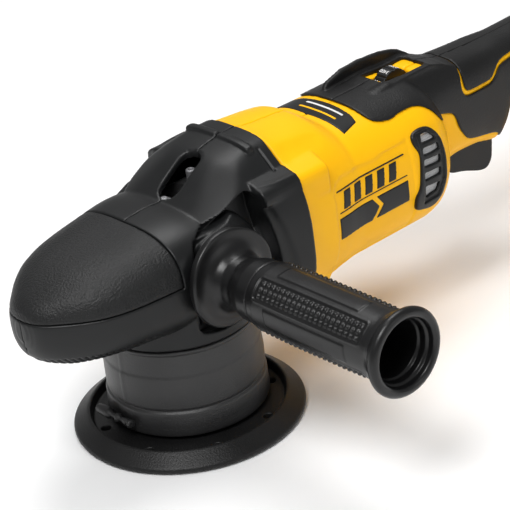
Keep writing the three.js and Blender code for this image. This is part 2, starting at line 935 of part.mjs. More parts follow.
const frame = ventFrame();
const grille = ventGrille();
add("vent_frame_left", frame, BLACK);
add("vent_frame_right", mirrorY(frame), BLACK);
add("vent_grille_left", grille, GREY);
add("vent_grille_right", mirrorY(grille), GREY);

// ---------- controls ----------
function speedDial() {
  let wheel = rod(DIAL_R, -DIAL_HALF, DIAL_HALF, "y", DIAL_AT, FINE);
  for (let i = 0; i < 12; i++) {
    const t = (i * Math.PI) / 6;
    const x = DIAL_AT[0] + DIAL_R * Math.cos(t);
    const z = DIAL_AT[2] + DIAL_R * Math.sin(t);
    wheel = wheel.subtract(rod(0.7, -5, 5, "y", [x, 0, z], HOLE));
  }
  return wheel;
}

function trigger() {
  const outline = [
    [200, 86.5],
    [237.6, 86.5],
    [238, 65],
    [236.5, 53],
    [232.5, 48.8],
    [226, 49.7],
    [213, 55],
    [202, 57.5],
    [200, 62],
  ];
  return prism(outline, -8.6, 8.6, "xz").subtract(box(204, 234, -6, 6, 62, 90));
}

add("speed_dial", speedDial(), BLACK);
add("trigger", trigger(), BLACK);
add("lock_on_button", rod(BUTTON_R, 12, 24, "y", BUTTON_AT, SMALL), BLACK);
add("switch_module", box(195, 232, -8, 8, 93, 110), BLACK);
add("motor_controller", box(238, 300, -11.5, 11.5, 96, 116), BOARD);

// ---------- battery mount ----------
function batteryMount() {
  const core = box(339, 346, -15.5, 15.5, 40.5, 99.5);
  const web = box(FOOT_X + GAP, 349.5, -20, 20, 10, 120);
  return core.add(web).add(box(349.5, 352.5, -26, 26, 10, 120));
}

// Block at the foot of the rails with two blades that point up into the pack.
function terminalBlock() {
  let block = box(352.8, 357.4, -16, 16, 14, 22);
  for (const y of [-9, 9]) {
    block = block.add(box(353.6, 356.4, y - 0.6, y + 0.6, 21.9, 33));
  }
  return block;
}

add("battery_mount", batteryMount(), BLACK);
add("terminal_block", terminalBlock(), BRASS);

// ---------- battery ----------
const PACK_SPLIT = 374;

function packOutline(half, z0, z1, r) {
  return roundedOutline(-half, half, z0, z1, r, 3);
}

// A rounded block of the pack between two X planes.
function packBlock(x0, x1, inset) {
  const outline = packOutline(PACK_HALF_Y - inset, PACK_Z[0] + inset, PACK_Z[1] - inset, 7 - inset);
  const shape = new THREE.Shape(outline.map(([u, v]) => new THREE.Vector2(u, v)));
  const g = new THREE.ExtrudeGeometry(shape, { depth: x1 - x0, bevelEnabled: false });
  g.rotateX(Math.PI / 2);
  g.rotateZ(Math.PI / 2);
  g.translate(x0, 0, 0);
  return solid(g);
}

function caseBase() {
  let base = packBlock(PACK_X[0], PACK_SPLIT, 0);
  for (const side of [1, -1]) {
    const arm = [side * 26.4, side * 33].sort((a, b) => a - b);
    const hook = [side * 20.4, side * 33].sort((a, b) => a - b);
    base = base.add(box(346.3, PACK_X[0] + 1, arm[0], arm[1], 12, 118));
    base = base.add(box(346.3, 349.2, hook[0], hook[1], 12, 118));
  }
  base = base.subtract(packBlock(361, PACK_SPLIT + 5, 2.5).intersect(box(0, 500, -50, 50, 0, 116)));
  base = base.subtract(box(350, 359, -16.6, 16.6, 0, 36));
  return base.subtract(box(356.6, 369.4, -10.4, 10.4, 119, 140));
}

function caseTop() {
  return packBlock(PACK_SPLIT + GAP, PACK_X[1], 0).subtract(packBlock(PACK_SPLIT - 5, PACK_X[1] - 2.5, 2.5));
}

add("battery_case_base", caseBase(), BLACK);
add("battery_case_top", caseTop(), BLACK);
add("battery_release_button", box(357, 369, -10, 10, 123, 131.5), YELLOW);
for (let i = 0; i < 5; i++) {
  add("battery_cell_" + (i + 1), rod(10.3, -35, 35, "y", [375, 0, 19.8 + 20.9 * i], SMALL), CELL);
}

export default root;
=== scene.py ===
"""Looks of the cordless dual action polisher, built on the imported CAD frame.

Curved moulded pieces are made as distance fields in millimetres and meshed on a fine grid,
so their edges are rounded and their grooves are real. Everything else is the CAD node itself.
"""
import json
import math

import bpy
import numpy as np
from mathutils import Matrix, Vector

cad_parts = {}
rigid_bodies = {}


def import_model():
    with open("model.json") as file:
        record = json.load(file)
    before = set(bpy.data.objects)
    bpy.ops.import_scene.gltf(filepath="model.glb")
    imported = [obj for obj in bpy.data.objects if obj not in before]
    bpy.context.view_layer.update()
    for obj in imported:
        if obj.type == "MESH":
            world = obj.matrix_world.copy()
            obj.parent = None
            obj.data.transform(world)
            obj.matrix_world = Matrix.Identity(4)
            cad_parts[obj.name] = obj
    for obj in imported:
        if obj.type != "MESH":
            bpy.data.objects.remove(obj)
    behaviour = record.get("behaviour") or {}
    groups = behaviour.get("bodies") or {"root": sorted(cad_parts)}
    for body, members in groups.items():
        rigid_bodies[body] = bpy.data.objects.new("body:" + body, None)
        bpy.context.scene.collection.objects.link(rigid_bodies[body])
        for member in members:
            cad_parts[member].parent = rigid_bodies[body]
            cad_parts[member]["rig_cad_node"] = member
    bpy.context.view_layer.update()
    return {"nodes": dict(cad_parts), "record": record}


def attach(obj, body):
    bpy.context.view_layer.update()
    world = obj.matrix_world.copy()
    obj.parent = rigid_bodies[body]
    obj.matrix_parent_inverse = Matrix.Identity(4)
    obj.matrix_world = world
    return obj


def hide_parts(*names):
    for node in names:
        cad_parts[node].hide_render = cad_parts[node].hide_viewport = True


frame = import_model()
MM = 0.001
FINE = 1.0  # grid step multiplier

# ---------------------------------------------------------------- sizes, mm, as in the CAD
ORBIT = (-5.2, -5.4)  # axis of the plate, x and y
SEAM_Z = 99.0  # lower edge of the nose cover
SEAM_X = -25.0  # rear edge of the nose cover
GAP = 0.3  # clearance of the CAD model between neighbouring pieces
SEAM = 0.14  # width of the line between the two halves
WALL = 2.6  # motor housing
HEAD_WALL = 4.6
COVER_WALL = 2.4  # soft cover of the nose

# x, half width, top, bottom, widest height, squareness
NOSE = [
    (-98.6, 4.2, 98.7, 87.5, 92, 2.2), (-97, 10.6, 103.6, 79, 92, 2.3), (-93.4, 16.5, 107.5, 74.5, 92, 2.5),
    (-88, 22.2, 110.8, 71.6, 92, 2.6), (-79.6, 29.7, 114.7, 69.1, 93, 2.7), (-69, 36.5, 118, 68.6, 93, 2.8),
    (-54, 41, 120.8, 67.6, 94, 2.9), (-35, 43.3, 123.2, 66.5, 94, 3), (-10, 45.5, 125.5, 64.5, 95, 3),
    (0, 46, 125, 63.5, 95, 3),
]
HEAD = [
    (-6, 46, 121.5, 63.5, 95, 3), (0, 46, 125, 63.5, 95, 3), (30, 48, 142.8, 57, 95, 2.8),
    (44, 50, 145.4, 50, 94, 2.9), (56.8, 52.5, 146.3, 42, 93, 2.6),
]
BARREL = [
    (57.2, 51.5, 145.5, 42, 93, 2.5), (62, 50, 144.4, 43, 92.5, 2.5), (70, 48.5, 143.5, 44, 92.5, 2.5),
    (90, 46.5, 141.5, 46.5, 92, 2.4), (98, 45.2, 136.5, 49, 92, 2.6), (104, 44.7, 132.8, 49.5, 91.5, 2.6),
    (155, 44.7, 132.8, 49.5, 91.5, 2.6), (165, 43, 132, 51, 91.5, 2.6), (174, 38.5, 128, 57, 91.5, 2.5),
    (180, 30, 120, 67, 91.5, 2.3), (184, 16, 110, 78, 93, 2.1),
]
GRIP = [
    (150, 24, 131, 66, 100, 2.6), (176, 22, 130, 68, 103, 2.6), (190, 20.5, 129, 67.5, 103, 3),
    (205, 19.5, 127.5, 69.5, 104, 3.2), (222, 18.8, 126.2, 68.5, 104, 3.2), (238, 18, 125.5, 65, 104.5, 3.2),
    (243.5, 17.8, 125.4, 69, 105, 3), (250, 17.8, 125.3, 83, 105, 2.6), (258, 18, 125.3, 87, 105.5, 2.3),
    (285, 18.5, 125.5, 87.5, 106, 2.3), (305, 20, 126.5, 84, 106, 2.4), (322, 26, 128, 72, 104, 2.8),
    (332, 30, 128.5, 60, 100, 3.2),
]
FOOT = [
    (316, 25, 120, 30, 80, 5), (324, 31, 127, 6, 66, 6), (332, 34, 129, 0.6, 65, 7),
    (345, 36, 129.5, 0, 65, 8),
]


# ---------------------------------------------------------------- distance fields
def smooth_table(keys, step=0.5):
    """The keys' columns along x on a fine, even table, by monotone cubic interpolation."""
    k = np.array(keys, float)
    x, v = k[:, 0], k[:, 1:]
    h = np.diff(x)[:, None]
    d = np.diff(v, axis=0) / h
    slope = np.zeros_like(v)
    slope[0], slope[-1] = d[0], d[-1]
    same = d[:-1] * d[1:] > 0
    w1, w2 = 2 * h[1:] + h[:-1], h[1:] + 2 * h[:-1]
    with np.errstate(divide="ignore", invalid="ignore"):
        mean = (w1 + w2) / (w1 / d[:-1] + w2 / d[1:])
    slope[1:-1] = np.where(same, mean, 0)
    xs = np.append(np.arange(x[0], x[-1], step), x[-1])
    i = np.clip(np.searchsorted(x, xs, side="right") - 1, 0, len(x) - 2)
    t = ((xs - x[i]) / h[i, 0])[:, None]
    a, b = v[i], v[i + 1]
    m, n = slope[i] * h[i], slope[i + 1] * h[i]
    start = (2 * t**3 - 3 * t**2 + 1) * a + (t**3 - 2 * t**2 + t) * m
    end = (-2 * t**3 + 3 * t**2) * b + (t**3 - t**2) * n
    return xs, start + end


def loft(keys):
    """Superellipse sections along x. The distance is measured out from each section's middle."""
    xs, table = smooth_table(keys)

    def field(x, y, z):
        half, top, bottom, mid, power = (np.interp(x, xs, table[:, i]) for i in range(5))
        dz = z - mid
        rise = np.where(dz > 0, top - mid, mid - bottom)
        g = ((np.abs(y) / half) ** power + (np.abs(dz) / rise) ** power) ** (1 / power) + 1e-6
        side = np.hypot(y, dz) * (1 - 1 / g)
        return np.maximum(side, np.maximum(xs[0] - x, x - xs[-1]))

    return field


def box(x0, x1, y0, y1, z0, z1, r=0.0):
    """A block between six planes, with its edges rounded by r."""

    def field(x, y, z):
        qx = np.abs(x - (x0 + x1) / 2) - (x1 - x0) / 2 + r
        qy = np.abs(y - (y0 + y1) / 2) - (y1 - y0) / 2 + r
        qz = np.abs(z - (z0 + z1) / 2) - (z1 - z0) / 2 + r
        past = np.sqrt(np.maximum(qx, 0) ** 2 + np.maximum(qy, 0) ** 2 + np.maximum(qz, 0) ** 2)
        return past + np.minimum(np.maximum(np.maximum(qx, qy), qz), 0) - r

    return field


def rod(axis, at, radius, low, high, r=0.0):
    """A cylinder along an axis letter, through at in the other two directions."""

    def field(x, y, z):
        a, b, c = {"x": (y, z, x), "y": (x, z, y), "z": (x, y, z)}[axis]
        q = np.hypot(a - at[0], b - at[1]) - radius + r
        w = np.abs(c - (low + high) / 2) - (high - low) / 2 + r
        return np.hypot(np.maximum(q, 0), np.maximum(w, 0)) + np.minimum(np.maximum(q, w), 0) - r

    return field


def capsule(p, q, radius):
    """A rod with round ends from p to q."""
    p, q = np.array(p, float), np.array(q, float)
    d = q - p

    def field(x, y, z):
        t = ((x - p[0]) * d[0] + (y - p[1]) * d[1] + (z - p[2]) * d[2]) / (d @ d)
        t = np.clip(t, 0, 1)
        gap = [v - p[i] - t * d[i] for i, v in enumerate((x, y, z))]
        return np.sqrt(gap[0] ** 2 + gap[1] ** 2 + gap[2] ** 2) - radius

    return field


def rounded(points, radius=0.5, cuts=4):
    """A closed profile with each corner replaced by a short curve."""
    pts = [Vector(p) for p in points]
    out = []
    for before, p, after in zip(pts[-1:] + pts[:-1], pts, pts[1:] + pts[:1]):
        reach_in = min(radius, (before - p).length * 0.45)
        reach_out = min(radius, (after - p).length * 0.45)
        a, b = p + (before - p).normalized() * reach_in, p + (after - p).normalized() * reach_out
        for k in range(cuts + 1):
            t = k / cuts
            q = a * (1 - t) ** 2 + p * 2 * t * (1 - t) + b * t * t
            out.append((q.x, q.y))
    return out


def flat_outline(points, u, v):
    """Signed distance to a closed polygon in the plane of u and v."""
    pts = np.array(points, float)
    best = np.full(u.shape, 1e9, u.dtype)
    inside = np.zeros(u.shape, bool)
    for (ax, ay), (bx, by) in zip(pts, np.roll(pts, -1, 0)):
        ex, ey = bx - ax, by - ay
        wx, wy = u - ax, v - ay
        t = np.clip((wx * ex + wy * ey) / (ex * ex + ey * ey), 0, 1)
        best = np.minimum(best, (wx - t * ex) ** 2 + (wy - t * ey) ** 2)
        if ay != by:
            inside ^= ((ay > v) != (by > v)) & (u < ex * (v - ay) / ey + ax)
    return np.where(inside, -1, 1) * np.sqrt(best)


def prism(points, plane, low=-1e3, high=1e3, r=0.0):
    """An outline pushed along the axis that plane leaves out. r rounds the outline's corners."""

    def field(x, y, z):
        u, v, w = {"xz": (x, z, y), "xy": (x, y, z), "yz": (y, z, x)}[plane]
        side = flat_outline(points, u, v)
        return np.maximum(side - r, np.maximum(low - w, w - high))

    return field


def union(*fields, k=0.0):
    """Where any of the fields is solid. k is how wide the fillet between them is."""

    def field(x, y, z):
        d = fields[0](x, y, z)
        for f in fields[1:]:
            d = soft_min(d, f(x, y, z), k)
        return d

    return field


def soft_min(a, b, k):
    """The smaller of a and b, blended where they are within k of each other."""
    if k <= 0:
        return np.minimum(a, b)
    h = np.maximum(k - np.abs(a - b), 0) / k
    return np.minimum(a, b) - h * h * k * 0.25


def both(*fields, k=0.0):
    """Where all the fields are solid."""

    def field(x, y, z):
        d = fields[0](x, y, z)
        for f in fields[1:]:
            d = -soft_min(-d, -f(x, y, z), k)
        return d

    return field


def cut(base, *tools, k=0.0):
    """The base with the tools taken away."""

    def field(x, y, z):
        d = base(x, y, z)
        for f in tools:
            d = -soft_min(-d, f(x, y, z), k)
        return d

    return field


def grown(f, by):
    return lambda x, y, z: f(x, y, z) - by


def outside(f, by=0.0):
    """The space more than by outside the field's surface."""
    return lambda x, y, z: by - f(x, y, z)


def layer(f, low, high):
    """The layer of a form from low to high above its surface. Negative is inside."""
    return lambda x, y, z: np.maximum(f(x, y, z) - high, low - f(x, y, z))


def both_sides(f):
    """The half of the field at +Y, and its mirror image."""
    return lambda x, y, z: f(x, np.abs(y), z)


def mirror_y(f):
    return lambda x, y, z: f(x, -y, z)


def left(f):
    """The half at -Y, the side of the handle."""
    return lambda x, y, z: np.maximum(f(x, y, z), y + SEAM / 2)


def right(f):
    return lambda x, y, z: np.maximum(f(x, y, z), SEAM / 2 - y)


# ---------------------------------------------------------------- grid and mesh
BLOCK = 8


def sample(field, low, high, step):
    """The field on a grid. Blocks far from the surface only get its sign."""
    low = np.array(low, float)
    blocks = np.maximum(np.ceil((np.array(high, float) - low) / step / BLOCK).astype(int), 1)
    axes = [low[i] + np.arange(blocks[i] + 1) * BLOCK * step for i in range(3)]
    coarse = field(*[a.ravel() for a in np.meshgrid(*axes, indexing="ij")]).reshape(blocks + 1)
    corners = [coarse[i:i + blocks[0], j:j + blocks[1], k:k + blocks[2]]
               for i in (0, 1) for j in (0, 1) for k in (0, 1)]
    least = np.min(np.abs(corners), axis=0)
    mixed = (np.min(corners, axis=0) < 0) & (np.max(corners, axis=0) > 0)
    live = mixed | (least < BLOCK * step * 1.1)
    grid = np.repeat(np.repeat(np.repeat(np.sign(coarse), BLOCK, 0), BLOCK, 1), BLOCK, 2)
    grid = grid[:blocks[0] * BLOCK + 1, :blocks[1] * BLOCK + 1, :blocks[2] * BLOCK + 1].astype(np.float32)
    grid *= BLOCK * step
    local = np.stack(np.meshgrid(*[np.arange(BLOCK + 1)] * 3, indexing="ij"), -1).reshape(-1, 3)
    where = np.argwhere(live) * BLOCK
    for start in range(0, len(where), 1500):
        index = (where[start:start + 1500, None] + local[None]).reshape(-1, 3)
        p = (low + index * step).astype(np.float32)
        grid[index[:, 0], index[:, 1], index[:, 2]] = field(p[:, 0], p[:, 1], p[:, 2])
    return grid, low


def net(grid, low, step):
    """Surface net: a vertex in each cell that the surface crosses, a quad on each crossed edge."""
    solid = grid < 0
    n = np.array(grid.shape) - 1
    total = np.zeros(n, np.int8)
    offsets = [(i, j, k) for i in (0, 1) for j in (0, 1) for k in (0, 1)]
    for i, j, k in offsets:
        total += solid[i:i + n[0], j:j + n[1], k:k + n[2]]
    cells = np.argwhere((total > 0) & (total < 8))
    point = np.zeros((len(cells), 3))
    count = np.zeros(len(cells))
    values = {o: grid[cells[:, 0] + o[0], cells[:, 1] + o[1], cells[:, 2] + o[2]] for o in offsets}
    for o in offsets:
        for axis in range(3):
            if o[axis]:
                continue
            e = tuple(1 if i == axis else o[i] for i in range(3))
            a, b = values[o], values[e]
            crossed = (a < 0) != (b < 0)
            t = np.where(crossed, a / np.where(crossed, a - b, 1), 0)
            for i in range(3):
                point[:, i] += np.where(crossed, o[i] + (t if i == axis else 0), 0)
            count += crossed
    vertices = (cells + point / count[:, None]) * step + low
    number = np.full(n, -1, np.int64)
    number[cells[:, 0], cells[:, 1], cells[:, 2]] = np.arange(len(cells))
    quads = []
    for axis in range(3):
        u, v = (axis + 1) % 3, (axis + 2) % 3
        head = [slice(None)] * 3
        tail = [slice(None)] * 3
        head[axis], tail[axis] = slice(0, -1), slice(1, None)
        edges = np.argwhere(solid[tuple(head)] != solid[tuple(tail)])
        edges = edges[(edges[:, u] > 0) & (edges[:, v] > 0) & (edges[:, u] < n[u]) & (edges[:, v] < n[v])]
        ring = []
        for du, dv in ((1, 1), (0, 1), (0, 0), (1, 0)):
            c = edges.copy()
            c[:, u] -= du
            c[:, v] -= dv
            ring.append(number[c[:, 0], c[:, 1], c[:, 2]])
        ring = np.stack(ring, 1)
        inward = ~solid[edges[:, 0], edges[:, 1], edges[:, 2]]
        ring[inward] = ring[inward][:, ::-1]
        quads.append(ring)
    return vertices, np.concatenate(quads)


def add_mesh(name, vertices, faces, smooth=True):
    mesh = bpy.data.meshes.new(name)
    flat = np.asarray(faces)
    mesh.vertices.add(len(vertices))
    mesh.vertices.foreach_set("co", (np.asarray(vertices, float) * MM).ravel())
    mesh.loops.add(flat.size)
    mesh.loops.foreach_set("vertex_index", flat.ravel())
    mesh.polygons.add(len(flat))
    mesh.polygons.foreach_set("loop_start", np.arange(len(flat)) * flat.shape[1])
    mesh.polygons.foreach_set("loop_total", np.full(len(flat), flat.shape[1]))
    mesh.update(calc_edges=True)
    mesh.validate()
    if smooth:
        mesh.shade_smooth()
    piece = bpy.data.objects.new(name, mesh)
    bpy.context.scene.collection.objects.link(piece)
    return piece


def carve(name, field, low, high, step, material, body="housing", nodes=()):
    """Meshes a field, gives it its material and body, and hides the CAD nodes it stands for."""
    step *= FINE
    grid, origin = sample(field, low, high, step)
    vertices, faces = net(grid, origin, step)
    piece = add_mesh(name, vertices, faces)
    finish_piece(piece, material, body, nodes)
    return piece


def finish_piece(piece, material, body, nodes=()):
    """The piece's material, the body it rides on and the CAD nodes that it replaces."""
    piece.data.materials.clear()
    piece.data.materials.append(MATERIALS[material][0])
    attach(piece, body)
    if nodes:
        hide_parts(*nodes)


# ---------------------------------------------------------------- materials
def shader(name):
    m = bpy.data.materials.new(name)
    m.use_nodes = True
    nodes, links = m.node_tree.nodes, m.node_tree.links
    return m, nodes, links, nodes["Principled BSDF"]


def noise(nodes, scale, detail=3.0, rough=0.55):
    coords = nodes.new("ShaderNodeTexCoord")
    n = nodes.new("ShaderNodeTexNoise")
    n.inputs["Scale"].default_value = scale
    n.inputs["Detail"].default_value = detail
    n.inputs["Roughness"].default_value = rough
    n.id_data.links.new(coords.outputs["Object"], n.inputs["Vector"])
    return n


def spread(nodes, links, source, low, high):
    r = nodes.new("ShaderNodeMapRange")
    r.inputs["From Min"].default_value = 0.3
    r.inputs["From Max"].default_value = 0.7
    r.inputs["To Min"].default_value = low
    r.inputs["To Max"].default_value = high
    links.new(source, r.inputs["Value"])
    return r.outputs["Result"]


def moulded(name, colour, rough, grain=900.0, depth=0.00004, metallic=0.0, vary=0.12, coat=0.0, spec=0.5):
    """Moulded or machined surface: fine grain in the bump, uneven gloss and a little colour drift."""
    m, nodes, links, bsdf = shader(name)
    cloud = noise(nodes, 35.0)
    fine = noise(nodes, grain, 2.0, 0.6)
    mix = nodes.new("ShaderNodeMix")
    mix.data_type = "RGBA"
    mix.inputs["A"].default_value = (*[c * (1 - vary) for c in colour], 1)
    mix.inputs["B"].default_value = (*[min(c * (1 + vary), 1) for c in colour], 1)
    links.new(spread(nodes, links, cloud.outputs["Fac"], 0, 1), mix.inputs["Factor"])
    links.new(mix.outputs["Result"], bsdf.inputs["Base Color"])
    links.new(spread(nodes, links, cloud.outputs["Fac"], rough * 0.9, rough * 1.1), bsdf.inputs["Roughness"])
    bump = nodes.new("ShaderNodeBump")
    bump.inputs["Strength"].default_value = 1.0
    bump.inputs["Distance"].default_value = depth
    links.new(fine.outputs["Fac"], bump.inputs["Height"])
    links.new(bump.outputs["Normal"], bsdf.inputs["Normal"])
    bsdf.inputs["Metallic"].default_value = metallic
    bsdf.inputs["Coat Weight"].default_value = coat
    bsdf.inputs["Specular IOR Level"].default_value = spec
    return m


# look: the material, and the CAD material slot that it stands for
MATERIALS = {
    "yellow": (moulded("yellow_plastic", (0.98, 0.5, 0.003), 0.4, 700, 0.00002, vary=0.02, spec=0.16),
               "yellow_plastic"),
    "black": (moulded("black_plastic", (0.0072, 0.0076, 0.008), 0.4, 1500, 0.00004, spec=0.3),
              "black_plastic"),
    "grain": (moulded("grained_nose", (0.0075, 0.0078, 0.0081), 0.47, 850, 0.0005, spec=0.34), "soft_grip"),
    "rubber": (moulded("black_rubber", (0.0075, 0.0075, 0.0077), 0.44, 1000, 0.0002, spec=0.3), "rubber"),
    "grip": (moulded("handle_rubber", (0.0055, 0.0055, 0.0058), 0.32, 1500, 0.00003, spec=0.36), "soft_grip"),
    "boot": (moulded("boot_rubber", (0.021, 0.021, 0.0215), 0.42, 1200, 0.00018, spec=0.5), "rubber"),
    "hook": (moulded("hook_fabric", (0.05, 0.05, 0.05), 0.9, 1800, 0.0003), "hook_fabric"),
    "white": (moulded("white_ink", (0.75, 0.75, 0.75), 0.5, 1500, 0.00001), "grey_plastic"),
    "grey": (moulded("grey_plastic", (0.42, 0.425, 0.43), 0.6, 1500, 0.00005), "grey_plastic"),
    "steel": (moulded("turned_steel", (0.5, 0.5, 0.52), 0.28, 1200, 0.00002, 1.0), "steel"),
    "alloy": (moulded("cast_alloy", (0.55, 0.55, 0.56), 0.42, 900, 0.00008, 1.0), "gear_case_alloy"),
    # darker copy of the gear case alloy: its dark colour is painted shade for the lug that sits down in the
    # slot
    "slot_shade": (moulded("slot_shaded_alloy", (0.26, 0.26, 0.27), 0.55, 900, 0.0001, 0.7), "gear_case_alloy"),
    "copper": (moulded("winding_copper", (0.5, 0.2, 0.08), 0.4, 1000, 0.0002, 0.8), "winding_copper"),
    "board": (moulded("circuit_board", (0.015, 0.1, 0.04), 0.4, 900, 0.0001), "circuit_board"),
    "brass": (moulded("terminal_brass", (0.7, 0.48, 0.16), 0.3, 900, 0.00002, 1.0), "terminal_brass"),
    "cell": (moulded("cell_wrap", (0.02, 0.12, 0.4), 0.35, 600, 0.00003), "cell_wrap"),
}


def dress_cad_nodes():
    """Gives each CAD node the first look listed for its slot."""
    look_of = {slot: look for look, (_, slot) in reversed(MATERIALS.items())}
    slot_of = {part["node"]: part["material_slot"] for part in frame["record"]["subparts"]}
    for node in frame["nodes"].values():
        look = look_of[slot_of[node["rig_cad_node"]]]
        node.data.materials.clear()
        node.data.materials.append(MATERIALS[look][0])


dress_cad_nodes()

# ---------------------------------------------------------------- head
nose_form = loft(NOSE)
head_form = loft(HEAD)


def facet(x, y, z):
    """Slanted face on each side of the slope, between the crease and the shoulder."""
    return -0.435 * (x + 1) + 0.368 * (np.abs(y) - 24) + 0.82 * (z - 124)


def chamfer(x, y, z):
    """The 45 degree corners of the flange, and of the front of the barrel behind it."""
    return 0.667 * (np.abs(y) - 23.5) + 0.747 * (z - 143.5)


slope = both(both(head_form, chamfer, k=2.5), facet, k=1.5)
outer_head = union(nose_form, slope, rod("z", (0, 0), 45, 59.5, 78, 1.2), k=0.8)
# the pocket round the side handle, and its deeper upper and rear part, x and z
POCKET = [
    (-17, 67), (-18, 84), (-17.5, 106), (-11.3, 117.6), (-5, 119.4), (0.5, 120.4), (8, 122.8), (14, 125.2),
    (22.4, 129.4), (28, 130.8), (31.4, 127), (31.8, 119), (34, 109), (36.6, 97), (38, 84), (34, 72),
    (22, 66), (-6, 65),
]
POCKET_DEEP = [
    (-9, 117.5), (-5, 119.4), (0.5, 120.4), (8, 122.6), (14, 125), (22.4, 129), (28, 130.4), (31.4, 127),
    (31.8, 119), (34, 109), (36.6, 97), (38, 84), (34, 72), (28, 70), (24, 100), (20, 112), (14, 117.5),
]
POCKET_FLOOR = 37.4  # distance of the pocket's floor from the middle plane
POCKET_FLOOR_DEEP = 31.5
HANDLE_AT = (1.2, 95.3)  # axis of the side handle, x and z
SLOT_HALF = 7.0  # half width of the slot in the slope


def slot(grow=0.0):
    """The long hole in the slope, with round ends."""

    def field(x, y, z):
        along = x - np.clip(x, 9.3, 22.3)
        return np.maximum(np.hypot(along, y) - SLOT_HALF - grow, 116 - z)

    return field


def handle_boss():
    """The round seat of the side handle. It stands in its pocket with a gap round it."""

    def cone(x, y, z):
        r = np.hypot(x - HANDLE_AT[0], z - HANDLE_AT[1])
        return 0.8 * (np.abs(y) - 44.6) + 0.5 * (r - 21)

    room = prism(rounded(POCKET, 4), "xz", 28, 44, -3.4)
    return both_sides(both(rod("y", HANDLE_AT, 31, 28, 43.6), cone, room, k=1.2))


def straps():
    """The bands that run down behind the pocket, with their bevelled front edge."""
    outline = [(30, 125.5), (31.5, 131), (56.8, 130.6), (56.8, 74), (50, 70), (43, 74), (38.6, 84), (37, 96),
               (34.4, 108), (32.6, 114), (32, 122)]

    def bevel(x, y, z):
        edge = np.interp(z, [80, 88, 114, 130], [38.5, 37.2, 32.6, 32])
        return 0.7 * (np.abs(y) - 43.6) - 0.7 * (x - edge)

    return both(both_sides(prism(outline, "xz", 36, 60)), grown(head_form, 1.6), bevel, k=0.8)


def hook_blocks():
    """The blocks that close the pockets at the top, with a sloping top face."""
    outline = [(30, 121), (33.4, 131), (35, 132.6), (37.4, 132.6), (45.4, 129.8), (47.6, 128), (48.6, 125),
               (48.4, 121)]
    ends = box(31.2, 70, -50, 50, 110, 140, 1.2)
    return both(both_sides(prism(rounded(outline, 2, 3), "yz", 31.2, 56.8)), ends, k=1.4)


def nose_teeth(x, y, z):
    """Slanted nicks along the lower edge of the nose."""
    slit = 0.75 - np.abs((x + 0.75 * np.abs(y) + 0.8 * z) % 4.4 - 2.2)
    zone = np.maximum(np.maximum(x + 42, z - 78), -nose_form(x, y, z) - 1.0)
    return np.maximum(-slit, zone)


def top_bars():
    """The short raised bars on the flange, one on each side of the middle."""
    bar = box(42.2, 47, 0.25, 25.5, 138, 147.3, 1.8)
    return both_sides(both(bar, grown(both(head_form, chamfer), 1.9), k=1))


def flange_groove():
    """The line behind each bar, 1 mm deep."""
    return both(both_sides(box(49.4, 50.6, 24, 37, 120, 160)), outside(both(head_form, chamfer), -1.0))


def head_hollow():
    """The space inside the head. It keeps clear of the floors of the pockets."""
    rear = both(grown(head_form, -HEAD_WALL), grown(facet, -HEAD_WALL), grown(chamfer, -4.2))
    floors = union(rod("y", (1, 96), 40, 34.8, 60), box(20, 44, 28.6, 60, 62, 134),
                   box(-24, 44, 28.6, 60, 116.4, 134))
    hollow = both(union(grown(nose_form, -HEAD_WALL), rear), outside(both_sides(floors)))
    return union(hollow, rod("z", (0, 0), 34.6, 40, 116), rod("z", (0, 0), 41.2, 50, 66))


def cover_seat():
    """The room that the nose cover takes, with its gap."""
    return both(grown(nose_form, 3), lambda x, y, z: x - SEAM_X - GAP, lambda x, y, z: SEAM_Z - GAP - z,
                outside(nose_form, -COVER_WALL - GAP))


def head_shell():
    form = union(outer_head, straps(), k=1.2)
    form = union(form, hook_blocks(), k=1.2)
    form = union(form, top_bars(), k=0.5)
    form = cut(form, both_sides(prism(rounded(POCKET, 4), "xz", POCKET_FLOOR, 80)), k=1.0)
    form = cut(form, both_sides(prism(rounded(POCKET_DEEP, 3), "xz", POCKET_FLOOR_DEEP, 80)), k=0.8)
    form = union(form, both(handle_boss(), outer_head), k=0.6)
    form = cut(form, nose_teeth, k=0.3)
    form = cut(form, flange_groove())
    form = cut(form, slot(), k=0.9)
    form = cut(form, both(slot(0.9), outside(slope, -0.45)))
    form = cut(form, head_hollow())
    form = cut(form, cover_seat())
    return cut(form, both_sides(rod("y", HANDLE_AT, 14, 30, 60)))


def nose_cover():
    block = both(nose_form, lambda x, y, z: x - SEAM_X, lambda x, y, z: SEAM_Z - z, k=1.4)
    name_plate = both(prism([(-59, 101.5), (-59, 106.5), (-36, 108.5), (-36, 103.5)], "xz", -60, -20),
                      outside(nose_form, -0.45))
    return cut(cut(block, grown(nose_form, -COVER_WALL)), both_sides(mirror_y(name_plate)))


def gear_lug():
    """Cast lug and screw head that show in the slot, on top of the gear case."""
    foot = union(box(0, 9, -1, 7, 114, 123.4, 1.6), rod("z", (5, 3), 2.2, 114, 124.4, 0.6), k=0.8)
    post = rod("z", (24.5, 2), 2.7, 114, 133.4, 0.8)
    drive = rod("z", (24.5, 2), 1.2, 132, 140)
    return union(foot, cut(post, drive), box(-2, 27, -3, 6, 113, 117, 1), k=1)


head = head_shell()
# the lug takes the darker alloy copy, painted shade of the slot it sits in
carve("gear_case_lug", gear_lug(), (-7, -7, 112), (30, 9, 136), 0.5, "slot_shade")
carve("head_cover_near", left(head), (-100, -54, 40), (58, 0.5, 149), 0.7, "black", nodes=["head_cover_left"])
carve("head_cover_far", right(head), (-100, -0.5, 40), (58, 54, 149), 0.8, "black",
      nodes=["head_cover_right"])
carve("nose_cover_skin", nose_cover(), (-100, -48, 96), (-23, 48, 128), 0.7, "grain", nodes=["nose_cover"])


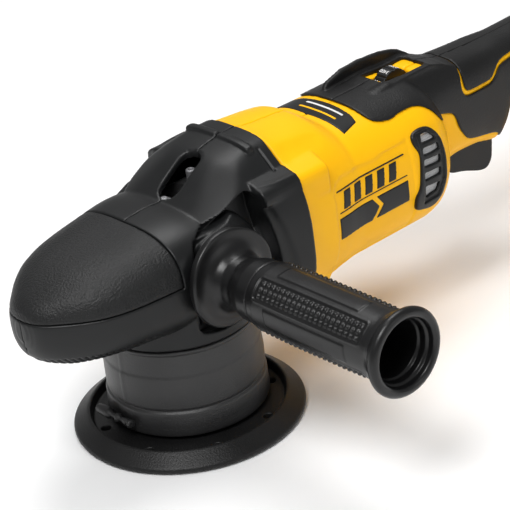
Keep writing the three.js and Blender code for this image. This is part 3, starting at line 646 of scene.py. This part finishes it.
# ---------------------------------------------------------------- boot and pad, turned
def turned(name, profile, centre, material, body, nodes, axis="z", steps=128, ripple=None):
    """A lathe mesh. The profile is a closed ring of (radius, height), fine enough to carry its curves."""
    steps = int(steps / FINE)
    pts = np.array(profile, float)
    count = len(pts)
    angle = np.arange(steps) * 2 * math.pi / steps
    r = pts[None, :, 0] + np.zeros((steps, 1))
    h = pts[None, :, 1] + np.zeros((steps, 1))
    if ripple:
        r, h = ripple(angle[:, None], r, h)
    u, v = r * np.cos(angle)[:, None], r * np.sin(angle)[:, None]
    place = {"z": (u, v, h), "y": (u, h, -v), "-y": (u, -h, v), "x": (h, u, v)}[axis]
    vertices = np.stack([place[i] + centre[i] for i in range(3)], -1).reshape(-1, 3)
    i, j = np.meshgrid(np.arange(steps), np.arange(count), indexing="ij")
    a, b = i * count + j, ((i + 1) % steps) * count + j
    c, d = ((i + 1) % steps) * count + (j + 1) % count, i * count + (j + 1) % count
    faces = np.stack([a, b, c, d], -1).reshape(-1, 4)
    piece = add_mesh(name, vertices, faces)
    piece.data.update()
    finish_piece(piece, material, body, nodes)
    return piece


def make_boot():
    """The boot, with its lip, its waist and one faint mould line."""
    profile = [(44.2, 6.9), (44.6, 8.4), (44.2, 12), (44, 20.4), (43.4, 21.2), (42.7, 21.8), (42.8, 22.6),
               (43.4, 23.4), (43.5, 32), (43.2, 41.5), (42.6, 43.2), (42.5, 53.6), (42.4, 55.4), (43.1, 56),
               (43.1, 57.6), (42, 58.2), (40.8, 58.4), (40.8, 65), (35, 65), (35, 53.7), (38.8, 53.7),
               (40.8, 43), (41.4, 6.9)]

    def ripple(angle, r, h):
        soft = 0.12 * np.sin(3 * angle + h * 0.11) + 0.09 * np.sin(7 * angle - h * 0.2)
        seam = 0.45 * np.exp(-((angle - math.radians(182)) / 0.018) ** 2) * (h > 22) * (h < 56)
        return r + np.where((r > 42) & (h < 56), soft + seam, 0), h

    turned("boot_skin", rounded(profile, 0.9, 3), (0, 0, 0), "boot", "housing", ["shroud"], steps=240,
           ripple=ripple)


def make_plate():
    cx, cy = ORBIT
    rim = rod("z", ORBIT, 63.5, 1.5, 10.2)

    def cone(x, y, z):
        r = np.hypot(x - cx, y - cy)
        return (r - 63.5 + (z - 3.4) * 1.33) * 0.6

    def bowl(x, y, z):
        r = np.hypot(x - cx, y - cy)
        return np.maximum((r - 52.2 - (z - 4.6) * 0.25) * 0.95, 4.6 - z)

    form = cut(both(rim, cone, k=0.9), bowl, k=0.8)
    form = union(form, rod("z", ORBIT, 52.6, 1.5, 4.6), k=0.8)
    ribs = []
    for i in range(8):
        t = (i + 0.5) * math.pi / 4
        ribs.append(rod("z", (cx + 47.5 * math.cos(t), cy + 47.5 * math.sin(t)), 2.6, 0, 20))
    form = cut(form, union(*ribs), k=0.6)
    form = cut(form, rod("z", ORBIT, 22.6, 2.6, 20), rod("z", ORBIT, 5.2, 0, 20))
    carve("plate_cushion", form, (cx - 65, cy - 65, 1), (cx + 65, cy + 65, 11), 0.6, "rubber", "pad",
          ["backing_plate"])


def make_toggle():
    """The small turned toggle at the front of the boot."""
    plug = [(0.05, -19), (2.4, -19), (2.9, -15), (3.2, -9.5), (2.6, -8.2), (1.5, -7), (1.4, -3.6),
            (2.3, -3.2), (2.6, -2), (2.3, -0.8), (1.3, -0.2), (1.3, 1), (2.3, 5.5), (1.4, 6), (1.4, 6.6),
            (2.4, 7.2), (2.6, 8.2), (2.2, 9.2), (0.05, 9.4)]
    turned("toggle_skin", rounded(plug, 0.5, 3), (-47.4, 0, 14.6), "boot", "housing", ["shroud_tether"],
           "-y", 32)


def make_hub():
    profile = [(5.6, 2.9), (22, 2.9), (22, 5.2), (12, 8), (12, 12), (5.6, 12)]
    turned("plate_hub", rounded(profile, 0.7), (*ORBIT, 0), "black", "pad", ["backing_plate_hub"], steps=96)


def make_hook_face():
    """The disc of hook fabric under the plate, with its rows of small hooks."""
    count = 110
    bottom = [(0.05 + 61.7 * i / count, 0.25) for i in range(count + 1)]
    profile = bottom + [(62, 0.5), (62, 1), (61.6, 1.2), (0.05, 1.2)]

    def ripple(angle, r, h):
        tufts = 0.2 * np.sin(r * 3.4) * np.sin(angle * 96)
        return r, h + np.where((h < 0.3) & (r > 6), tufts, 0)

    turned("hook_disc", profile, (*ORBIT, 0), "hook", "pad", ["hook_face"], steps=384, ripple=ripple)


make_boot()
make_plate()
make_hub()
make_hook_face()
make_toggle()


# ---------------------------------------------------------------- side handle
PANEL_TURN = math.radians(42)  # first textured panel, up from the front
PANEL_ENDS = (86, 163)
PANEL_HALF = 6.0
PANEL_COUNT = 4
GRIP_RADIUS = 18.4
ROW_PITCH = 3.5  # between the rows of pyramids on a panel
COLUMN_PITCH = 3.52
# distance along the handle, radius
HANDLE_KEYS = [
    (46, 22), (50, 20), (54, 16.5), (58, 14.6), (63, 14), (67, 15.6), (72, 16.9), (79, 17.3), (86, 18.3),
    (110, 18.6), (150, 18.5), (163, 18.2), (167, 18.1), (170, 18.8), (173, 20.6), (175, 22.2),
]
BORE_KEYS = [(120, 14.2), (165, 14.8), (170, 15.2), (171, 16.4), (174.5, 16.6), (175.5, 17.9), (181, 18.6)]


def radius_at(h, keys):
    at, radius = np.array(keys, float).T
    return np.interp(h, at, radius)


def handle_guard(h, dx, dz, turn):
    """The round guard, a little dished and wavy."""
    wave = 1.6 * np.cos(2 * turn)
    oval = np.hypot(dx / 0.985, dz / 1.04)
    dish = 2.2 * np.cos(2 * turn + 0.6) * np.clip((oval - 14) / 13, 0, 1)
    past_rim = np.maximum(oval - 25.2 - 0.3 * wave, 0)
    past_face = np.maximum(np.abs(h - 49.2 - dish * 0.6) - 0.9, 0)
    return np.hypot(past_rim, past_face) - 1.5


def handle_panel(h, local):
    """How deep the surface lies on a textured panel: a sunk field, its raised edge and small pyramids."""
    arc = local * GRIP_RADIUS
    mid, half = (PANEL_ENDS[0] + PANEL_ENDS[1]) / 2, (PANEL_ENDS[1] - PANEL_ENDS[0]) / 2
    qa, qh = np.abs(arc) - PANEL_HALF, np.abs(h - mid) - half
    frame_line = np.maximum(qa, qh)
    frame_line = np.where((qa > -1.5) & (qh > -1.5), np.hypot(qa + 1.5, qh + 1.5) - 1.5, frame_line)
    depth = 0.55 * (frame_line < 0)
    row, column = np.round(arc / ROW_PITCH), np.round((h - mid) / COLUMN_PITCH)
    inside = (np.abs(row) < 1.5) & (np.abs(column) < 10.6)
    spread_a, spread_h = np.abs(arc - row * ROW_PITCH), np.abs(h - mid - column * COLUMN_PITCH)
    peak = np.where(inside, np.clip(1.35 - np.maximum(spread_a, spread_h), 0, 0.85) * 1.25, 0)
    edge = np.where(np.abs(frame_line - 0.5) < 0.5, 0.25, 0)
    return depth - peak - edge


def side_handle():
    """Outline of radius against distance along the handle, then guard, panels, end ring and bore."""
    share = 2 * math.pi / PANEL_COUNT

    def field(x, y, z):
        h = -y
        dx, dz = x - HANDLE_AT[0], z - HANDLE_AT[1]
        r = np.hypot(dx, dz)
        turn = np.arctan2(dz, -dx)
        local = (turn - PANEL_TURN + share / 2) % share - share / 2
        radius = radius_at(h, HANDLE_KEYS)
        grip_zone = np.clip((h - 80) / 4, 0, 1) * np.clip((169 - h) / 4, 0, 1)
        radius = radius - 0.55 * grip_zone * np.cos(4 * local + math.pi) * 0.5
        body = np.maximum((r - radius) * 0.97, np.maximum(47 - h, h - 176))
        ring = np.hypot(r - 20.6, h - 176.6) - 2.9
        body = soft_min(body, ring, 1.5)
        body = soft_min(body, handle_guard(h, dx, dz, turn), 5.0)
        collar_line = 0.5 - np.hypot(r - radius, h - 80)
        body = np.maximum(body, collar_line)
        panel = np.where(np.abs(r - radius) < 3, handle_panel(h, local), 0)
        body = body + panel * (h > 84) * (h < 166)
        # raised blank field on the plain faces
        other = (turn - PANEL_TURN) % share - share / 2
        blank = np.maximum(np.abs(other * GRIP_RADIUS) - 4.6, np.abs(h - 124) - 29)
        body = body - np.clip(0.4 - blank * 0.8, 0, 0.4) * (np.abs(r - radius) < 2)
        bore = np.maximum(r - radius_at(h, BORE_KEYS), 120 - h)
        body = np.maximum(body, -bore)
        return np.maximum(body, -np.maximum(r - 4.5, h - 121))

    return field


carve("side_handle_skin", side_handle(), (-28, -181, 65), (31, -44, 127), 0.55, "grip",
      nodes=["side_handle_grip"])

# ---------------------------------------------------------------- motor housing, grip, foot
barrel_form = both(loft(BARREL), grown(chamfer, -0.6), k=3)
grip_form = loft(GRIP)
foot_form = loft(FOOT)
body_form = union(barrel_form, grip_form, foot_form, k=2.5)
CORNERS = [(33, 123), (30, 59)]  # screw bosses behind the flange, y and z
# outlines on the sides of the body, x and z
SIDE_PANEL = [(80, 59), (80.5, 108), (83, 112.6), (89, 114.2), (100, 113.4), (116, 112.2), (120, 113.2),
              (141, 114.2), (141, 59)]
FRONT_SOFT = [
    (126, 150), (126, 128.5), (131, 126.3), (138, 125.2), (150, 126.4), (159, 125.5), (165, 122), (170, 116),
    (174, 110), (186, 106), (198, 102), (201, 91), (209, 79.8), (219, 77), (236, 73.4), (243, 64), (256, 64),
    (256, 116.5), (242, 115.5), (238, 114), (232, 107), (208.5, 107.5), (205.5, 114), (208.2, 123),
    (208.4, 150),
]
REAR_SOFT = [
    (209.1, 150), (208.9, 123), (208, 114.5), (210, 110), (231, 109.5), (237, 116), (242, 118),
    (256, 118.6), (258, 118),
    (258, 80), (312, 80), (312, 150),
]
FRONT_CURVE = rounded(FRONT_SOFT, 5, 3)
REAR_CURVE = rounded(REAR_SOFT, 4, 3)
BADGE = [(82, 92.6), (108.6, 92.6), (113.4, 86.4), (107.6, 79.8), (82, 79.8)]
TOP_BADGE = [(108, -28), (120, -25), (121.6, -20), (123, 0), (121.6, 20), (120, 25), (108, 28), (106.5, 0)]
VENT = [(143.5, 115.6), (151, 117), (158.4, 115.6), (164.2, 108.2), (166.8, 95), (166.2, 82), (162, 72),
        (154, 67.2), (140, 71), (140.4, 80.6), (143.6, 84), (146.4, 104.6), (143.2, 110)]
WINDOWS = [
    [(150.9, 113.4), (156.1, 112.9), (161, 108), (149.6, 108.6)],
    [(149.6, 105.9), (161.6, 105), (162.3, 101.1), (149.1, 101.8)],
    [(148.9, 99.2), (162, 98), (161.8, 93.8), (148.5, 94.8)],
    [(148.4, 91.6), (161.3, 90.6), (161, 86.4), (148, 87)],
    [(148.2, 83.2), (159.6, 82.3), (157.8, 77.7), (148.3, 76)],
]
DIAL_AT = (170.5, 124.7)  # axis of the speed dial, x and z
DIAL_WELL = 11.8  # radius of the room round the dial
LOCK_AT = (200, 98)  # axis of the lock-on button, x and z
DECK = 133.2  # height of the deck round the dial


def crown():
    """Raised deck round the dial, with the tall fin along its far side."""
    deck = [(140, 126), (150, 132), (156, DECK), (190, DECK), (200, 129.6), (210, 122)]
    fin = [(131.5, 124), (132.5, 134.6), (135, 137), (147, 140.4), (160, 141), (176, 139.8), (186, 137.6),
           (191, 135.6), (197, 131.5), (201, 126)]
    low = both(prism(deck, "xz", -13.4, 13.4), box(130, 215, -14, 14, 100, 150, 4), k=2)
    return low, both(prism(fin, "xz", 12, 15.6), box(130, 215, 12, 15.6, 100, 150, 1.2), k=1.2)


def dial_window(grow=0.0):
    return box(156.5 - grow, 190 + grow, -8.8 - grow, 8.8 + grow, 112, 160, 2.0)


def scallops(x, y, z):
    """The two curved yellow troughs that lead down to the dial."""
    return np.maximum(np.hypot(x - 173.2, (z - 142) * 1.35) - 18, np.abs(y) - 8.6)


def corner_pads():
    """The raised corners that carry on the line of the black blocks, and the hollows above them."""
    outline = [(28, 116), (32, 130.2), (34.4, 131.6), (37, 131.4), (44.6, 128.4), (46.6, 126.6), (47.6, 123),
               (47.2, 112), (40, 106)]
    ends = box(50, 78.6, -50, 50, 100, 140, 2.6)
    pads = both(both_sides(prism(rounded(outline, 2, 3), "yz", 57.2, 78.6)), ends, k=2)
    return pads, both_sides(capsule((66, 39.5, 145.8), (84, 39, 145.4), 14))


def lock_hole(radius, low, high):
    return rod("y", LOCK_AT, radius, low, high)


def housing_shell():
    corner = union(*[rod("x", c, 8, 57.2, 79.5, 2.5) for c in CORNERS])
    pads, hollows = corner_pads()
    form = union(body_form, both_sides(corner), k=2.2)
    form = union(cut(form, hollows, k=2.5), pads, k=1.0)
    form = union(form, box(340, 372, -30, 30, 0.2, 4.5, 1.2), k=1)
    panel = both(both_sides(prism(SIDE_PANEL, "xz", 30, 80)), outside(barrel_form, -0.7))
    form = cut(form, panel, k=0.8)
    inlay = both(union(prism(FRONT_CURVE, "xz"), prism(REAR_CURVE, "xz")), outside(body_form, -0.7),
                 lambda x, y, z: 60 - z)
    form = cut(form, inlay)
    form = cut(form, grown(cut(body_form, hollows, k=2.5), -WALL))
    dial_bed = both(box(153, 193, -12, 12, 112, 131), outside(scallops),
                    outside(rod("y", DIAL_AT, DIAL_WELL, -5, 5)))
    form = union(form, dial_bed)
    vent_hole = [(147.5, 112), (157, 113), (163, 106), (164, 95), (163, 82), (158, 75), (147, 73)]
    form = cut(form, both_sides(prism(vent_hole, "xz", 25, 80)))
    trigger_slot = box(199, 241, -9.3, 9.3, 45, 92, 1)
    form = cut(form, rod("y", DIAL_AT, DIAL_WELL, -4.7, 4.7), trigger_slot, k=0.5)
    return cut(form, box(341, 350, -16, 16, 40, 100), lock_hole(4.1, 9, 40))


def soft_layer(outline):
    """Soft moulding over the body inside an outline drawn in x and z. It sinks in and stands proud."""
    return both(layer(body_form, -0.5, 1.1), prism(outline, "xz"), k=0.9)


def vent_opening():
    """The frame's outline, 1.2 mm wider at the front and at the rear."""
    wider = [(x + (1.2 if x > 154 else -1.2), z) for x, z in VENT]
    return both_sides(prism(rounded(wider, 4), "xz", 20, 80))


def pod():
    low, fin = crown()
    form = union(soft_layer(FRONT_CURVE), both(low, outside(body_form, -0.4)), k=3.5)
    form = union(form, both(fin, outside(body_form, -0.4)), k=1.2)
    form = union(form, capsule((147.5, -11.6, 131.4), (156, -12, 132.6), 1.9), k=3.5)
    form = cut(form, vent_opening())
    form = cut(form, dial_window(), k=0.8)
    return cut(form, box(199, 241, -9.6, 9.6, 45, 92), lock_hole(4.1, 9, 40))


shell = housing_shell()
carve("housing_near", left(shell), (56, -54, -1), (374, 0.5, 147), 0.9, "yellow", nodes=["housing_left"])
carve("housing_far", right(shell), (56, -0.5, -1), (374, 54, 147), 1.0, "yellow", nodes=["housing_right"])
pod_form = pod()
carve("pod_soft_near", left(pod_form), (124, -40, 62), (258, 0.5, 143), 0.65, "rubber",
      nodes=["pod_overmold_left"])
carve("pod_soft_far", right(pod_form), (124, -0.5, 62), (258, 40, 143), 0.75, "rubber",
      nodes=["pod_overmold_right"])
rear_soft = soft_layer(REAR_CURVE)
carve("grip_soft_near", left(rear_soft), (206, -26, 78), (314, 0.5, 130), 0.7, "rubber",
      nodes=["grip_overmold_left"])
carve("grip_soft_far", right(rear_soft), (206, -0.5, 78), (314, 26, 130), 0.8, "rubber",
      nodes=["grip_overmold_right"])


# ---------------------------------------------------------------- labels and vents
def side_label():
    """Plain shapes where a name would stand: five bars between two lines, and two arrows."""
    lines = [[(82.5, z), (136, z), (136, z + 0.8), (82.5, z + 0.8)] for z in (95.2, 107.6)]
    plain = [(110.5, 79.8), (136, 79.8), (136, 92.6), (112, 92.6), (116.5, 86.4)]
    bars = [[(x, 96.8), (x + 5.4, 96.8), (x + 7.6, 106.6), (x + 2.2, 106.6)] for x in (86, 95, 104, 113, 122)]
    return union(*[prism(outline, "xz", 30, 80) for outline in (BADGE, *lines, plain, *bars)])


def make_labels():
    side = both(layer(barrel_form, -1.5, -0.25), side_label())
    carve("side_label_near", mirror_y(side), (80, -49, 78), (139, -38, 110), 0.45, "black",
          nodes=["side_badge_left"])
    carve("side_label_far", side, (80, 38, 78), (139, 49, 110), 0.6, "black", nodes=["side_badge_right"])
    top = both(layer(barrel_form, -1.0, 0.35), prism(TOP_BADGE, "xy", 110, 140))
    carve("top_label", top, (105, -30, 122), (125, 30, 135), 0.45, "black", nodes=["top_badge"])
    for name, start, material in (("top_mark_pale", 117.2, "white"), ("top_mark_yellow", 111.8, "yellow")):
        stripe = both(layer(barrel_form, -0.3, 0.5), box(start, start + 1.6, -17, 12, 110, 140, 0.6))
        carve(name, stripe, (start - 1, -19, 126), (start + 3, 14, 135), 0.3, material)


def vent_frame():
    plate = both(layer(barrel_form, -3.0, 1.7), prism(rounded(VENT, 4), "xz", 20, 80), k=1.4)
    inner = [(147, 115), (156, 115), (163, 108), (164.5, 95), (163.6, 82), (158.5, 74), (146.5, 73.4)]
    well = both(prism(inner, "xz", 20, 80), outside(barrel_form, 0.4))
    plate = cut(plate, well, k=0.8)
    return cut(plate, *[prism(rounded(w, 1), "xz", 20, 80) for w in WINDOWS], k=0.4)


def grille():
    """The ribbed sheet behind the windows."""
    outline = [(147.6, 114), (157, 114), (162.6, 107), (163.4, 95), (162.6, 82), (158, 75.4), (147.4, 75)]
    sheet = prism(outline, "xz", 20, 80)

    def field(x, y, z):
        ribs = 0.25 * np.cos(z * 2 * math.pi / 1.6)
        depth = barrel_form(x, y, z)
        return np.maximum(np.maximum(depth + 1.5 + ribs, -3.4 - depth), sheet(x, y, z))

    return field


def make_vents():
    near, far = ((138, -48, 65), (169, -28, 119)), ((138, 28, 65), (169, 48, 119))
    for side, cad, room, step in (("near", "left", near, 0.5), ("far", "right", far, 0.6)):
        for name, form, look in (("frame", vent_frame(), "black"), ("mesh", grille(), "grey")):
            if side == "near":
                form = mirror_y(form)
            node = {"frame": "vent_frame_", "mesh": "vent_grille_"}[name] + cad
            carve(f"vent_{name}_{side}", form, *room, step, look, nodes=[node])


make_labels()
make_vents()


# ---------------------------------------------------------------- controls
DIAL_RADIUS = 10.6
DIAL_STEP = 40  # degrees between the numbers


def make_dial():
    """A wheel with flat lands that carry the numbers and a shallow notch every 40 degrees between them."""

    def field(x, y, z):
        dx, dz = x - DIAL_AT[0], z - DIAL_AT[1]
        r, turn = np.hypot(dx, dz), np.arctan2(dz, dx)
        off = np.abs((np.degrees(turn) + 90 - DIAL_STEP / 2) % DIAL_STEP - DIAL_STEP / 2)
        rim = DIAL_RADIUS - 0.3 - 0.8 * np.clip(1 - (DIAL_STEP / 2 - off) / 4, 0, 1)
        return np.hypot(np.maximum(r - rim, 0), np.maximum(np.abs(y) - 3.7, 0)) - 0.3

    carve("dial_wheel", field, (158, -5, 112), (183, 5, 137.5), 0.35, "black", "speed_dial", ["speed_dial"])


def make_dial_number(number, turn):
    """One number lying on the rim. turn is its angle from the top towards the nose."""
    curve = bpy.data.curves.new("number", "FONT")
    curve.body = str(number)
    curve.align_x = "CENTER"
    curve.align_y = "CENTER"
    curve.size = 3.3 * MM
    curve.extrude = 0.12 * MM
    text = bpy.data.objects.new("number", curve)
    mesh = bpy.data.meshes.new_from_object(text)
    bpy.data.objects.remove(text)
    turn = math.radians(turn)
    out = Vector((-math.sin(turn), 0, math.cos(turn)))
    across = Vector((0, 1, 0))
    centre = Vector((DIAL_AT[0], 0, DIAL_AT[1])) * MM
    mesh.transform(Matrix.Translation(centre + out * DIAL_RADIUS * MM)
                   @ Matrix((across, out.cross(across), out)).transposed().to_4x4())
    piece = bpy.data.objects.new(f"dial_number_{number}", mesh)
    bpy.context.scene.collection.objects.link(piece)
    finish_piece(piece, "white", "speed_dial")


def make_trigger():
    outline = [(200.6, 86), (237, 86), (237.4, 65), (236, 54), (232, 49.6), (226, 50.4), (213, 55.6),
               (203, 58.2), (200.6, 62)]
    sides = box(190, 245, -8.6, 8.6, 40, 90, 2.2)
    form = both(prism(rounded(outline, 3), "xz", -8.6, 8.6, 0.6), sides, k=1.5)
    form = cut(form, box(205, 233, -6, 6, 62, 90))
    carve("trigger_skin", form, (199, -9.5, 47), (239.5, 9.5, 88), 0.5, "black", "trigger", ["trigger"])


make_dial()
for step, number in enumerate((2000, 2700, 3400, 4100, 4800, 5500)):
    make_dial_number(number, DIAL_STEP * (step - 1.5))
make_trigger()


def make_lock_button():
    form = cut(rod("y", LOCK_AT, 3.6, 12, 24, 1.0), rod("y", LOCK_AT, 2.2, 23.3, 30))
    carve("lock_button_cap", form, (195, 11, 93), (205, 25, 103), 0.3, "black", "lock_on_button",
          ["lock_on_button"])


make_lock_button()


# ---------------------------------------------------------------- battery and its mount
CASE = (353.4, 389)  # x extents of the pack
CASE_SPLIT = 374


def battery_case():
    """Rounded case with rail arms in front, finger grooves on its sides and a framed rear face."""
    form = box(*CASE, -38.5, 38.5, 5, 130, 7)
    arms = union(box(346.3, 356, 26.4, 33, 12, 118, 0.8), box(346.3, 349.2, 20.4, 33, 12, 118, 0.8))
    form = union(form, both_sides(arms))
    grooves = [box(360, 385, 37.3, 45, 84 + 7 * i, 87.4 + 7 * i, 0.8) for i in range(5)]
    panel = box(361, 384, 37.6, 45, 18, 76, 3)
    form = cut(form, both_sides(union(panel, *grooves)), k=0.6)
    rear = cut(box(388.1, 395, -27, 27, 20, 104, 4), box(380, 400, -17, 17, 34, 62, 3))
    form = cut(form, rear, k=0.6)
    lamps = [rod("x", (y, 94), 1.6, 387.4, 395) for y in (-9, -3, 3)]
    form = cut(form, union(*lamps, rod("x", (12, 94), 3.4, 387.6, 395)), k=0.3)
    form = cut(form, box(361, 386.2, -36, 36, 7.5, 116, 1.5), box(350, 359, -16.6, 16.6, 0, 36, 0.5))
    return cut(form, box(356.6, 369.4, -10.4, 10.4, 119, 140, 0.5))


def make_battery():
    case = battery_case()
    front = both(case, lambda x, y, z: x - CASE_SPLIT)
    back = both(case, lambda x, y, z: CASE_SPLIT + SEAM - x)
    low, high = (345, -40, 4), (390, 40, 132)
    carve("battery_case_front", front, low, (375.5, 40, 132), 0.9, "black", "battery", ["battery_case_base"])
    carve("battery_case_back", back, (372.5, -40, 4), high, 0.9, "black", "battery", ["battery_case_top"])
    ridges = [box(358 + 2.6 * i, 359.2 + 2.6 * i, -7.5, 7.5, 130.7, 135) for i in range(4)]
    button = cut(box(357, 369, -10, 10, 123, 131.5, 2), *ridges, k=0.4)
    carve("release_button_cap", button, (356, -11, 122), (370, 11, 132.5), 0.4, "yellow", "battery_release",
          ["battery_release_button"])


def make_mount():
    form = union(box(339, 346, -15.5, 15.5, 40.5, 99.5), box(345.3, 349.8, -20, 20, 10, 120, 0.8),
                 box(349.5, 352.5, -26, 26, 10, 120, 1), k=0.5)
    carve("battery_rail", form, (338, -27, 9), (353.5, 27, 121), 0.7, "black", "housing", ["battery_mount"])


make_battery()
make_mount()


# ---------------------------------------------------------------- camera, light, floor
def aim(azimuth, elevation, roll):
    """The camera's right, up and back directions."""
    a, e, r = (math.radians(v) for v in (azimuth, elevation, roll))
    back = Vector((math.sin(a) * math.cos(e), -math.cos(a) * math.cos(e), math.sin(e)))
    level = Vector((math.cos(a), math.sin(a), 0))
    rise = back.cross(level)
    across = level * math.cos(r) + rise * math.sin(r)
    up = rise * math.cos(r) - level * math.sin(r)
    return across, up, back


def make_camera():
    data = bpy.data.cameras.new("camera")
    data.lens = 181.1
    data.sensor_width = 36
    data.clip_start = 0.05
    camera = bpy.data.objects.new("camera", data)
    across, up, back = aim(-38.27, 27.92, -7.87)
    target, distance = Vector((0.0538, -0.0054, 0.0705)), 1.3942
    turn = Matrix((across, up, back)).transposed().to_4x4()
    camera.matrix_world = Matrix.Translation(target + back * distance) @ turn
    bpy.context.scene.collection.objects.link(camera)
    bpy.context.scene.camera = camera


def area_light(name, at, toward, size, power):
    data = bpy.data.lights.new(name, "AREA")
    data.shape = "DISK"
    data.size = size
    data.energy = power
    light = bpy.data.objects.new(name, data)
    light.location = at
    light.rotation_euler = (Vector(toward) - Vector(at)).to_track_quat("-Z", "Y").to_euler()
    bpy.context.scene.collection.objects.link(light)


def make_studio():
    world = bpy.data.worlds.new("studio")
    world.use_nodes = True
    world.node_tree.nodes["Background"].inputs["Color"].default_value = (1, 1, 1, 1)
    world.node_tree.nodes["Background"].inputs["Strength"].default_value = 0.31
    bpy.context.scene.world = world
    middle = (0.1, 0, 0.08)
    area_light("key", (-0.8, -0.5, 1.5), middle, 0.8, 21)
    area_light("top", (0.4, 0.4, 1.5), middle, 0.9, 12.5)
    area_light("side", (0.5, -1.6, 0.6), middle, 0.7, 2)
    side = 4000  # mm, half the width of the floor
    corners = [(-side, -side, -0.2), (side, -side, -0.2), (side, side, -0.2), (-side, side, -0.2)]
    floor = add_mesh("floor", corners, [(0, 1, 2, 3)], smooth=False)
    pale = moulded("pale_floor", (0.97, 0.97, 0.97), 0.7, 40, 0.00001, vary=0.005)
    floor.data.materials.append(pale)
    bpy.context.scene.view_settings.view_transform = "Standard"


make_camera()
make_studio()
